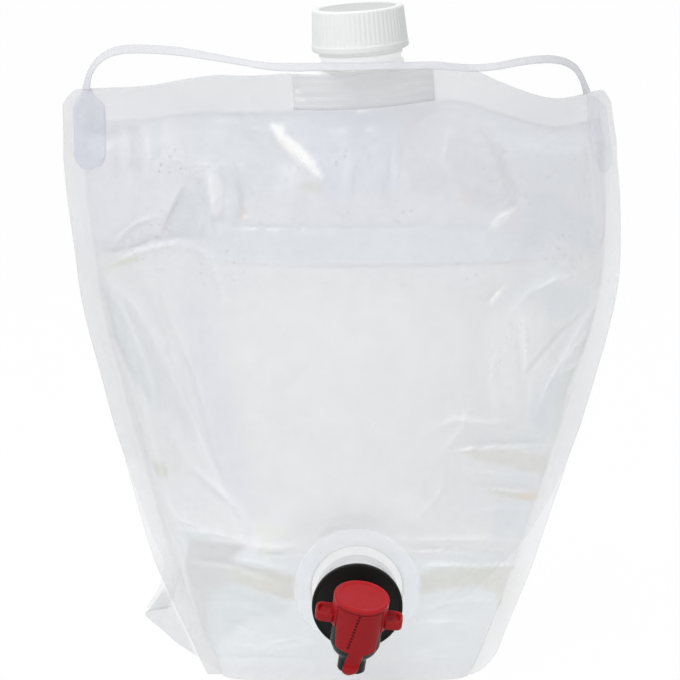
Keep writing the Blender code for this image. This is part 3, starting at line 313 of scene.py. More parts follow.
def add_piece(
    name: str, surface: Surface, material: bpy.types.Material,
    body: str | None, nodes: tuple[str, ...],
) -> bpy.types.Object:
    """Makes a piece that stands for CAD nodes.

    Args:
        name: The piece's name.
        surface: Its shape, in place.
        material: Its finish.
        body: The body that it rides on, or None.
        nodes: The CAD nodes that it stands for.

    Returns:
        The finished piece.
    """
    piece = make_mesh(name, surface)
    piece.data.materials.append(material)
    if body:
        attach(piece, body)
    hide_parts(*nodes)
    LOG.info("%s: %d faces, for %s", name, len(piece.data.polygons), ", ".join(nodes))
    return piece


# Shader arithmetic


class Wire:
    """A value that runs through a material. Python's operators on it add Math nodes."""

    def __init__(self, graph: "Graph", socket: bpy.types.NodeSocket) -> None:
        """Wraps one output socket of the graph."""
        self.graph = graph
        self.socket = socket

    def _math(self, operation: str, first: "Wire | float", second: "Wire | float") -> "Wire":
        """One Math node on two values."""
        return self.graph.node("ShaderNodeMath", {"operation": operation}, {0: first, 1: second})

    def __add__(self, other: "Wire | float") -> "Wire":
        """self + other."""
        return self._math("ADD", self, other)

    __radd__ = __add__

    def __mul__(self, other: "Wire | float") -> "Wire":
        """self * other."""
        return self._math("MULTIPLY", self, other)

    __rmul__ = __mul__

    def __sub__(self, other: "Wire | float") -> "Wire":
        """self - other."""
        return self._math("SUBTRACT", self, other)

    def __rsub__(self, other: float) -> "Wire":
        """other - self."""
        return self._math("SUBTRACT", other, self)

    def kept(self) -> "Wire":
        """The value kept between 0 and 1."""
        return self.graph.node("ShaderNodeClamp", {}, {"Value": self})

    def below(self, edge: float, soft: float) -> "Wire":
        """1 where the value is under the edge, 0 where it is over it by the soft width."""
        return self.graph.node("ShaderNodeMapRange", {"interpolation_type": "SMOOTHSTEP"}, {
            "Value": self, "From Min": edge - soft, "From Max": edge + soft, "To Min": 1.0, "To Max": 0.0})


class Graph:
    """The nodes of one material or of the world."""

    def __init__(self, owner: bpy.types.Material | bpy.types.World) -> None:
        """Starts from the owner's own nodes, which in a material are a Principled shader and its output."""
        self.owner = owner
        owner.use_nodes = True
        self.tree = owner.node_tree
        self.shader = self.tree.nodes.get("Principled BSDF")

    @classmethod
    def named(cls, name: str) -> "Graph":
        """The nodes of a new material."""
        return cls(bpy.data.materials.new(name))

    def node(
        self, kind: str, settings: dict[str, object], inputs: dict[str | int, object], output: int | str = 0
    ) -> Wire:
        """Adds a node.

        Args:
            kind: The node's type.
            settings: Its own settings, which are set first.
            inputs: Values or wires for its sockets, by name or number.
            output: Which of its outputs is wanted.

        Returns:
            That output.
        """
        node = self.tree.nodes.new(kind)
        for key, value in settings.items():
            setattr(node, key, value)
        for key, value in inputs.items():
            self.feed(node.inputs[key], value)
        return Wire(self, node.outputs[output])

    def feed(self, socket: bpy.types.NodeSocket, value: object) -> None:
        """Links a wire to a socket, or sets its value."""
        if isinstance(value, Wire):
            self.tree.links.new(value.socket, socket)
        elif isinstance(value, tuple) and len(value) == 3 and socket.type == "RGBA":
            socket.default_value = (*value, 1.0)
        else:
            socket.default_value = value

    def principled(self, **values: object) -> None:
        """Feeds the Principled shader, with spaces in socket names written as _."""
        for key, value in values.items():
            self.feed(self.shader.inputs[key.replace("_", " ")], value)

    def place(self) -> Wire:
        """The point's place in the object's own axes, in metres."""
        return self.node("ShaderNodeTexCoord", {}, {}, "Object")

    def stretched(self, x: float, y: float, z: float) -> Wire:
        """The place with each axis scaled."""
        return self.node("ShaderNodeMapping", {}, {"Vector": self.place(), "Scale": (x, y, z)})

    def noise(self, size: float, detail: float = 3.0, vector: Wire | None = None) -> Wire:
        """Noise whose lumps are about this size in metres, from 0 to 1."""
        return self.node("ShaderNodeTexNoise", {}, {
            "Vector": vector or self.place(), "Scale": 1.0 / size, "Detail": detail, "Roughness": 0.55})

    def mark(self, name: str, output: str = "Fac") -> Wire:
        """A number or colour kept on the piece's points."""
        return self.node("ShaderNodeAttribute", {"attribute_name": name}, {}, output)

    def mix(self, first: object, second: object, factor: Wire | float) -> Wire:
        """first where the factor is 0 and second where it is 1, as colours."""
        return self.node("ShaderNodeMix", {"data_type": "RGBA"}, {0: factor, 6: first, 7: second}, 2)

    def bump(self, height: Wire, depth: float) -> Wire:
        """A normal tilted by a height from 0 to 1 that stands for this depth in metres."""
        return self.node("ShaderNodeBump", {}, {"Height": height, "Distance": depth})


def scaled(colour: Rgb, factor: float) -> Rgb:
    """A colour made lighter or darker."""
    return tuple(min(1.0, part * factor) for part in colour)


def unscreened(value: Array | float) -> Array | float:
    """A screen value from 0 to 255 as a linear one: ((v / 255 + 0.055) / 1.055)^2.4."""
    return ((value / 255 + 0.055) / 1.055) ** 2.4


def linear(red: float, green: float, blue: float) -> Rgb:
    """Screen values from 0 to 255 as linear colour."""
    return unscreened(red), unscreened(green), unscreened(blue)


# Finishes


@dataclass(frozen=True)
class Moulded:
    """Injection-moulded plastic: fine grain, slow colour drift, faint flow marks and rubbed edges.

    The glow stands for the light that translucent plastic passes on.
    """

    name: str
    colour: Rgb
    roughness: float
    grain: float = 0.00035
    grain_depth: float = 0.000010
    drift: float = 0.08
    dark: float = 0.35
    specular: float = 0.5
    cover: float = 1.0
    glow: float = 0.0
    drift_size: float = 0.009
    flow_size: float = 0.004
    scuff_size: float = 0.0016
    flow_rough: float = 0.16
    rub_rough: float = 0.10
    rubbed_from: Pair = (0.66, 0.05)
    scuff_depth: float = 0.6

    def material(self) -> bpy.types.Material:
        """Builds the finish. The mark "shade" paints shade: in grooves and holes, on sides, wings, the cap's
        top, the gland's front and the boat.
        """
        graph = Graph.named(self.name)
        drift = graph.noise(self.drift_size, 2.0)
        flow = graph.noise(self.flow_size, 3.0, graph.stretched(1.0, 1.0, 0.25))
        scuff = graph.noise(self.scuff_size, 5.0, graph.stretched(1.0, 0.3, 1.0))
        base = graph.mix(scaled(self.colour, 1 - self.drift), scaled(self.colour, 1 + self.drift), drift)
        base = graph.mix(base, scaled(self.colour, self.dark), graph.mark("shade"))
        rubbed = 1 - scuff.below(*self.rubbed_from)
        rough = self.roughness + (flow - 0.5) * self.flow_rough + rubbed * self.rub_rough
        height = graph.noise(self.grain, 2.0) + scuff * self.scuff_depth
        graph.principled(Base_Color=base, Roughness=rough.kept(), Specular_IOR_Level=self.specular,
                         Normal=graph.bump(height, self.grain_depth), Alpha=self.cover)
        if self.glow:
            graph.principled(Emission_Color=base, Emission_Strength=self.glow)
        return graph.owner


@dataclass(frozen=True)
class ClearFilm:
    """Clear glossy film: the tone and the cover are marks, with fine scratches and beads of water."""

    name: str
    roughness: float = 0.16
    ior: float = 1.9
    mottle_size: float = 0.012
    fine_size: float = 0.0016
    scratch_size: float = 0.0011
    bead_scale: float = 260.0
    beaded_size: float = 0.020
    relief: float = 0.0009
    light: Rgb = (1.0, 1.0, 1.0)
    dark: Rgb = (0.30, 0.33, 0.38)
    drop: Rgb = (0.25, 0.29, 0.34)
    light_shares: Pair = (0.80, 0.15)
    dark_shares: Pair = (0.60, 0.15)
    beaded_from: Pair = (0.53, 0.06)
    bead_edge: Pair = (0.15, 0.05)
    bead_dark: float = 0.6
    bead_cover: float = 0.08
    cover_span: Pair = (0.82, 0.36)
    scratch_from: Pair = (0.64, 0.04)
    rough_shares: Pair = (0.12, 0.12)
    heights: tuple[float, float, float, float] = (0.7, 0.10, 0.04, -0.12)

    def material(self) -> bpy.types.Material:
        """Builds the finish from the marks "tone", "cover" and "wet"."""
        graph = Graph.named(self.name)
        mottle = graph.noise(self.mottle_size, 4.0)
        fine = graph.noise(self.fine_size, 3.0)
        scratch = graph.noise(self.scratch_size, 3.0, graph.stretched(1.0, 1.0, 0.06))
        tone = graph.mark("tone", "Color")
        large, small = self.light_shares
        lighter = graph.mix(tone, self.light, ((mottle - 0.5) * large + (fine - 0.5) * small).kept())
        large, small = self.dark_shares
        darker = graph.mix(lighter, self.dark, ((0.5 - mottle) * large + (0.5 - fine) * small).kept())
        beads = graph.node(
            "ShaderNodeTexVoronoi", {}, {"Vector": graph.place(), "Scale": self.bead_scale}, "Distance")
        patch = 1 - graph.noise(self.beaded_size, 2.0).below(*self.beaded_from)
        bead = beads.below(*self.bead_edge) * patch * graph.mark("wet")
        base = graph.mix(darker, self.drop, bead * self.bead_dark)
        least, span = self.cover_span
        cover = graph.mark("cover") * (least + mottle * span) + bead * self.bead_cover
        uneven, rubbed = self.rough_shares
        scratched = 1 - scratch.below(*self.scratch_from)
        rough = self.roughness + (mottle - 0.5) * uneven + scratched * rubbed
        height = functools.reduce(
            lambda first, second: first + second,
            [wire * share for wire, share in zip((mottle, fine, scratch, bead), self.heights)])
        graph.principled(Base_Color=base, Alpha=cover.kept(), Roughness=rough.kept(), IOR=self.ior,
                         Normal=graph.bump(height, self.relief))
        return graph.owner


@dataclass(frozen=True)
class StrapFilm:
    """Thick bluish film: nearly even, with fine drawn lines along the strap, and greyer where it is free."""

    name: str
    colour: Rgb
    free: Rgb
    cover: float
    roughness: float
    cloud_size: float = 0.010
    line_size: float = 0.0009
    relief: float = 0.00010
    ior: float = 1.6
    tones: Pair = (0.93, 1.06)
    free_share: float = 0.6
    cloud_cover: float = 0.12
    thin_cover: float = 0.10
    line_rough: float = 0.14
    heights: Pair = (0.4, 0.05)

    def material(self) -> bpy.types.Material:
        """Builds the finish, thinner where the mark "thin" is over 0 and greyer where it is under."""
        graph = Graph.named(self.name)
        cloud = graph.noise(self.cloud_size, 3.0)
        lines = graph.noise(self.line_size, 2.0, graph.stretched(1.0, 1.0, 0.12))
        base = graph.mix(*(scaled(self.colour, tone) for tone in self.tones), cloud)
        base = graph.mix(base, self.free, (graph.mark("thin") * -self.free_share).kept())
        cover = self.cover + (cloud - 0.5) * self.cloud_cover - graph.mark("thin") * self.thin_cover
        rough = self.roughness + (lines - 0.5) * self.line_rough
        clouds, drawn = self.heights
        graph.principled(Base_Color=base, Alpha=cover.kept(), Roughness=rough.kept(), IOR=self.ior,
                         Normal=graph.bump(cloud * clouds + lines * drawn, self.relief))
        return graph.owner


@dataclass(frozen=True)
class Rubber:
    """Soft matt rubber or foam."""

    name: str
    colour: Rgb
    roughness: float
    speckle_size: float = 0.0006
    relief: float = 0.00004
    tones: Pair = (0.8, 1.2)
    speckle_rough: float = 0.2

    def material(self) -> bpy.types.Material:
        """Builds the finish."""
        graph = Graph.named(self.name)
        speckle = graph.noise(self.speckle_size, 4.0)
        base = graph.mix(*(scaled(self.colour, tone) for tone in self.tones), speckle)
        rough = self.roughness + (speckle - 0.5) * self.speckle_rough
        graph.principled(Base_Color=base, Roughness=rough.kept(), Normal=graph.bump(speckle, self.relief))
        return graph.owner


# The front view, from which creases and tones are placed


@dataclass(frozen=True)
class FrontView:
    """The camera, and where it sees each point in a frame of 680 by 680."""

    eye: tuple[float, float, float] = (-0.0030, -1.6195, 0.605)
    aim: tuple[float, float, float] = (-0.0030, 0.0305, 0.164)
    focal: float = 3315.0
    side: float = 680.0
    sensor: float = 36.0

    def axes(self) -> Array:
        """The camera's unit vectors to the right, up and ahead."""
        ahead = np.subtract(self.aim, self.eye)
        ahead = ahead / np.linalg.norm(ahead)
        right = np.array([1.0, 0.0, 0.0])
        return np.array([right, np.cross(right, ahead), ahead])

    def seen(self, points: Array) -> tuple[Array, Array]:
        """Where points are seen: side/2 + f x'/d across and side/2 - f z'/d down, d being the depth."""
        right, up, ahead = self.axes()
        away = points - np.array(self.eye)
        depth = away @ ahead
        across, rise = self.focal * (away @ right) / depth, self.focal * (away @ up) / depth
        return self.side / 2 + across, self.side / 2 - rise

    def at(self, px: Array, py: Array, y: Array) -> Array:
        """The points seen there that lie at this y: eye + t (a + r (px - s/2)/f + u (s/2 - py)/f)."""
        right, up, ahead = self.axes()
        across, rise = (px - self.side / 2) / self.focal, (self.side / 2 - py) / self.focal
        ray = ahead + across[:, None] * right + rise[:, None] * up
        return np.array(self.eye) + ray * ((y - self.eye[1]) / ray[:, 1])[:, None]

    def place_camera(self) -> None:
        """Creates the scene's camera."""
        data = bpy.data.cameras.new("front_camera")
        data.sensor_width = self.sensor
        data.lens = self.sensor * self.focal / self.side
        camera = bpy.data.objects.new("front_camera", data)
        camera.location = self.eye
        drop = math.atan2(self.eye[2] - self.aim[2], self.aim[1] - self.eye[1])
        camera.rotation_euler = (math.pi / 2 - drop, 0.0, 0.0)
        bpy.context.scene.collection.objects.link(camera)
        bpy.context.scene.camera = camera


# The painted light and shade of a crease: levels of grey per millimetre of height and of slope, the step
# in pixels over which the slope is taken, the most levels, and the share of its width that the gleam takes
GLEAM_HEIGHT, GLEAM_SLOPE, GLEAM_STEP, GLEAM_MOST, GLEAM_WIDTH = 5.0, 9.0, 0.9, 12.0, 0.6
# Millimetres to a metre, and pixels of the front view to a millimetre
MILLI, PIXELS = 1000, 2.0
# A crease's path is kept off its very ends. A sharp ridge is cut by a share on a narrow top, and a
# step dies away over a width and rises over a narrower one
FOLD_ENDS, RIDGE_CUT, RIDGE_NARROW, STEP_WIDE, STEP_NARROW = (0.02, 0.98), 0.25, 6, 2.2, 3
FAR, TINY = 1e9, 1e-9


@dataclass(frozen=True)
class Crease:
    """A crease from one place of the front view to another.

    Width and height are in millimetres, and a negative height is a furrow.
    """

    path: tuple[Pair, ...]
    width: float
    height: float
    taper: float = 0.6
    kind: Fold = Fold.SHARP

    def gleam(self, x: Array, y: Array) -> Array:
        """Painted light and shade, in levels of grey: lighter where the crease stands out and faces up left.

        Returns:
            h r + s (r(p - d) - r(p + d)) up to the most levels, with the relief r in millimetres, and d
            one step down and to the right.
        """
        here, up_left, down_right = (
            self.relief(x + step, y + step, GLEAM_WIDTH) * MILLI for step in (0, -GLEAM_STEP, GLEAM_STEP))
        light = GLEAM_HEIGHT * here - GLEAM_SLOPE * (up_left - down_right)
        return np.clip(light, -GLEAM_MOST, GLEAM_MOST)

    def relief(self, x: Array, y: Array, narrow: float = 1.0) -> Array:
        """How far the crease stands out, in metres.

        Args:
            x: Across the front view.
            y: Down the front view.
            narrow: The share of its width that it is given.

        Returns:
            The height times sin(pi t)^taper along the path, times exp(-d^2) for a round fold, exp(-|d|)
            for a sharp one, or a rise on one side that dies away for a step, d being the distance in
            widths.
        """
        nodes = np.array(self.path, float)
        lengths = np.linalg.norm(np.diff(nodes, axis=0), axis=1)
        starts = np.concatenate([[0], np.cumsum(lengths)])
        best = np.full(x.shape, FAR)
        side = np.zeros(x.shape)
        place = np.zeros(x.shape)
        for a, b, start, length in zip(nodes, nodes[1:], starts, lengths):
            ux, uy = (b - a) / length
            t = np.clip((x - a[0]) * ux + (y - a[1]) * uy, 0, length)
            dx, dy = x - a[0] - t * ux, y - a[1] - t * uy
            away = np.hypot(dx, dy)
            nearer = away < best
            best = np.where(nearer, away, best)
            side = np.where(nearer, np.sign(dx * uy - dy * ux), side)
            place = np.where(nearer, (start + t) / starts[-1], place)
        d = best / (self.width * PIXELS * narrow)
        along = np.sin(math.pi * np.clip(place, *FOLD_ENDS)) ** self.taper
        if self.kind is Fold.ROUND:
            shape = np.exp(-d * d)
        elif self.kind is Fold.SHARP:
            shape = np.exp(-d) * (1 - RIDGE_CUT * np.exp(-(d * RIDGE_NARROW) ** 2))
        else:
            shape = np.exp(-d / STEP_WIDE) * (side * (1 - np.exp(-(d * STEP_NARROW) ** 2)))
        return self.height / MILLI * along * shape


@dataclass(frozen=True)
class Tone:
    """A patch of the film that looks lighter, darker or tinted: an outline in the front view.

    The soft width is in pixels of the front view.
    """

    outline: tuple[Pair, ...]
    colour: Rgb
    strength: float = 0.85
    soft: float = 6.0

    def weight(self, x: Array, y: Array) -> Array:
        """The strength inside the outline, fading out over the soft width on both sides of it.

        Returns:
            The strength times an even ramp of the signed distance to the nearest side. A point is inside
            where a ray from it crosses an odd number of sides.
        """
        corners = np.array(self.outline, float)
        away = np.full(x.shape, FAR)
        inside = np.zeros(x.shape, bool)
        for a, b in zip(corners, np.roll(corners, -1, axis=0)):
            side = b - a
            t = np.clip(((x - a[0]) * side[0] + (y - a[1]) * side[1]) / (side @ side), 0, 1)
            away = np.minimum(away, np.hypot(x - a[0] - t * side[0], y - a[1] - t * side[1]))
            level = (a[1] > y) != (b[1] > y)
            crossing = a[0] + (y - a[1]) * side[0] / (side[1] if abs(side[1]) > TINY else TINY)
            inside = inside ^ (level & (x < crossing))
        signed = np.where(inside, away, -away)
        return self.strength * eased((signed / self.soft + 1) / 2)


# The bag


@dataclass
class BagShape:
    """The full bag's form, with the CAD model's sizes in metres."""

    height: float = 0.3055
    top_width: float = 0.3050
    base_width: float = 0.1440
    full_depth: float = 0.128
    side_weld: float = 0.009
    top_weld: float = 0.0185
    film: float = 0.0003
    gap: float = 0.0001
    gusset_depth: float = 0.100
    gusset_height: float = 0.101
    left_drop: float = 0.0102
    right_drop: float = 0.0206
    corner_drop: float = 0.0080
    top_sway: float = 0.0095
    bend_start: float = 0.0485
    bend_run: float = 0.058
    bend_angle: float = math.radians(50)
    base_skew: float = 0.0135
    base_bulge_share: float = 0.93
    corner_splay: float = 0.0238
    splay_height: float = 0.036
    boat_length: float = 0.072
    boat_thickness: float = 0.030
    boat_tip: float = 0.0012
    boat_margin: float = 0.008
    boat_clearance: float = 0.0002
    lean_left: float = math.radians(4)
    lean_back: float = math.radians(3)
    lean_reach: float = 0.110
    tap_offset: float = 0.0043
    tap_height: float = 0.0505
    tap_forwards: float = 0.0475
    droop: float = math.radians(3)
    roll: float = math.radians(8)
    disc_radius: float = 0.0318
    pad_margin: float = 0.0100
    pad_fade: float = 0.0180
    origin: tuple[float, float, float] = (-0.0002, 0.0305, 0.0)
    corner_share: float = 0.36
    across_powers: Pair = (2.2, 3.8)
    edge_powers: Pair = (0.95, 0.45)
    boat_from: float = 0.86
    boat_sooner: float = 0.864
    fall_from: Pair = (0.8, 0.2)
    lean_from: Pair = (0.72, 0.18)
    bend_from: Pair = (0.42, 0.52)
    widths: tuple[Pair, ...] = (
        (0, 0), (0.03, 0.062), (0.06, 0.120), (0.09, 0.182), (0.12, 0.243), (0.16, 0.318), (0.20, 0.376),
        (0.25, 0.442), (0.30, 0.505), (0.334, 0.543), (0.379, 0.598), (0.43, 0.650), (0.484, 0.703),
        (0.55, 0.774), (0.624, 0.846), (0.693, 0.893), (0.80, 0.97), (0.88, 1), (1, 1))
    sways: tuple[Pair, ...] = (
        (0, 0), (0.03, 0.17), (0.06, 0.22), (0.12, 0.21), (0.20, 0.12), (0.30, 0.06), (0.379, 0.10),
        (0.484, 0.18), (0.55, 0.25), (0.624, 0.40), (0.693, 0.57), (0.80, 0.83), (0.88, 1), (1, 1))
    left_drops: tuple[Pair, ...] = ((0, 0), (0.46, 0), (0.56, 0.25), (0.70, 0.80), (0.85, 0.95), (1, 1))
    right_drops: tuple[Pair, ...] = (
        (0, 0), (0.27, 0), (0.34, 0.10), (0.45, 0.48), (0.60, 0.83), (0.82, 1), (1, 1))
    depths: tuple[Pair, ...] = (
        (0, 0.94), (0.14, 0.97), (0.3, 1), (0.42, 0.97), (0.55, 0.865), (0.69, 0.70),
        (0.81, 0.495), (0.87, 0.37), (0.93, 0.18), (1, 0))

    @property
    def boat_bottom(self) -> float:
        """The height of the top weld's lower line."""
        return self.height - self.top_weld

    def half_width(self, share: Array) -> Array:
        """Half the width inside the side welds, from the table of widths."""
        base, top = self.base_width / 2 - self.side_weld, self.top_width / 2 - self.side_weld
        return base + (top - base) * along_table(share, self.widths)

    def split(self, share: Array) -> Array:
        """How far the side welds have parted round the gusset: D/2 r (1 + r) / 2, r = 1 - h/H."""
        rest = np.clip(1 - share * self.height / self.gusset_height, 0, 1)
        return self.gusset_depth / 2 * rest * (1 + rest) / 2

    def boat_half(self, across: Array) -> Array:
        """Half the boat's thickness: tip/2 + (T - tip)/2 (1 - (2x/L)^2)."""
        share = np.clip(np.abs(across) / (self.boat_length / 2), 0, 1)
        return self.boat_tip / 2 + (self.boat_thickness - self.boat_tip) / 2 * (1 - share * share)

    def bulge(self, u: Array, share: Array) -> Array:
        """How far the film stands out: d (1 - |u|^p)^q, squarer near the base, round the boat on top."""
        corner = np.clip(1 - share / self.corner_share, 0, 1) ** 2
        depth = self.full_depth / 2 * along_table(share, self.depths) - self.split(share)
        p = self.across_powers[0] + self.across_powers[1] * corner
        q = self.edge_powers[0] - self.edge_powers[1] * corner
        body = depth * (1 - np.clip(np.abs(u), 0, 1) ** p) ** q
        to_top = ramp(share, self.boat_from, self.boat_bottom / self.height - self.boat_sooner)
        across = u * self.half_width(share)
        beside = np.clip((np.abs(across) - self.boat_length / 2) / self.boat_margin, 0, 1)
        return body * (1 - to_top) + (self.boat_half(across) + self.boat_clearance) * (1 - beside) * to_top

    def pad_distance(self) -> float:
        """The front film's distance from the middle plane at the tap."""
        share = np.interp(self.tap_height / self.height, *np.array(self.depths).T)
        return self.full_depth / 2 * float(share)

    def depth(self, u: Array, share: Array, front: bool) -> Array:
        """The distance of the film's outer face from the middle plane, flat round the tap on the front."""
        depth = self.gap + self.film + self.split(share) + self.bulge(u, share)
        if front:
            across, height = u * self.half_width(share), share * self.height
            away = np.hypot(across - self.tap_offset, height - self.tap_height)
            weight = 1 - eased((away - self.disc_radius - self.pad_margin) / self.pad_fade)
            plane = self.pad_distance() + math.tan(self.droop) * (height - self.tap_height)
            depth = depth * (1 - weight) + plane * weight
        return depth

    def top_drop(self, across: Array) -> Array:
        """How far the top edge lies below its middle."""
        share = across / (self.top_width / 2)
        left = self.left_drop * along_table(-share, self.left_drops)
        right = self.right_drop * along_table(share, self.right_drops)
        beyond = np.abs(across) - self.top_width / 2 + self.side_weld
        return left + right + self.corner_drop * np.clip(beyond / self.side_weld, 0, 1) ** 2

    def lean(self) -> Array:
        """The lean of the top with its spout, about the middle of the top weld's lower line."""
        pivot = shift_matrix(0, 0, self.boat_bottom)
        leant = pivot @ turn_matrix(-self.lean_left, "Y") @ turn_matrix(-self.lean_back, "X")
        return leant @ np.linalg.inv(pivot)

    def spout_matrix(self) -> Array:
        """Where the spout stands."""
        return shift_matrix(self.top_sway + self.origin[0], self.origin[1], 0) @ self.lean()

    def gland_matrix(self) -> Array:
        """The gland's frame, on the front film."""
        sway = self.top_sway * float(np.interp(self.tap_height / self.height, *np.array(self.sways).T))
        across, forwards = self.tap_offset + sway + self.origin[0], self.origin[1] - self.pad_distance()
        return shift_matrix(across, forwards, self.tap_height) @ turn_matrix(self.droop, "X")

    def tap_matrix(self) -> Array:
        """The tap's frame, on its barrel, in front of the film."""
        return self.gland_matrix() @ turn_matrix(self.roll, "Y") @ shift_matrix(0, -self.tap_forwards, 0)

    def settled(self, points: Array) -> Array:
        """The standing shape of points on the straight bag.

        Args:
            points: Any shape x 3.

        Returns:
            The points with the base skewed, the top leant with the spout, the right end turned back along
            an arc of the bend's run, the whole swayed to the right, and moved to the origin.
        """
        x, y, z = points[..., 0], points[..., 1], points[..., 2]
        back = np.clip((y + self.gusset_depth / 2) / self.gusset_depth, 0, 1)
        left = np.clip(-x / (self.base_width / 2), 0, 1)
        corner = back * back * left * np.clip(1 - z / self.splay_height, 0, 1)
        x = x - self.base_skew * back * (1 - eased(z / self.gusset_height)) - self.corner_splay * corner
        lean = self.lean()
        rigid = self.boat_length / 2 + self.boat_margin
        near = 1 - ramp(np.abs(x), rigid, self.lean_reach - rigid)
        weight = (near * ramp(z / self.height, *self.lean_from))[..., None]
        points = np.stack([x, y, z], axis=-1)
        points = points * (1 - weight) + (points @ lean[:3, :3].T + lean[:3, 3]) * weight
        x, y, z = points[..., 0], points[..., 1], points[..., 2]
        angle = np.maximum(self.bend_angle * ramp(z / self.height, *self.bend_from), 1e-6)
        past = np.maximum(x - self.bend_start, 0)
        on_arc = np.minimum(past, self.bend_run)
        turn, radius = angle * on_arc / self.bend_run, self.bend_run / angle
        across = radius * np.sin(turn) + (past - on_arc) * np.cos(turn)
        behind = radius * (1 - np.cos(turn)) + (past - on_arc) * np.sin(turn)
        x, y = np.minimum(x, self.bend_start) + across - y * np.sin(turn), behind + y * np.cos(turn)
        x = x + self.top_sway * along_table(z / self.height, self.sways)
        return np.stack([x, y, z], axis=-1) + np.array(self.origin)


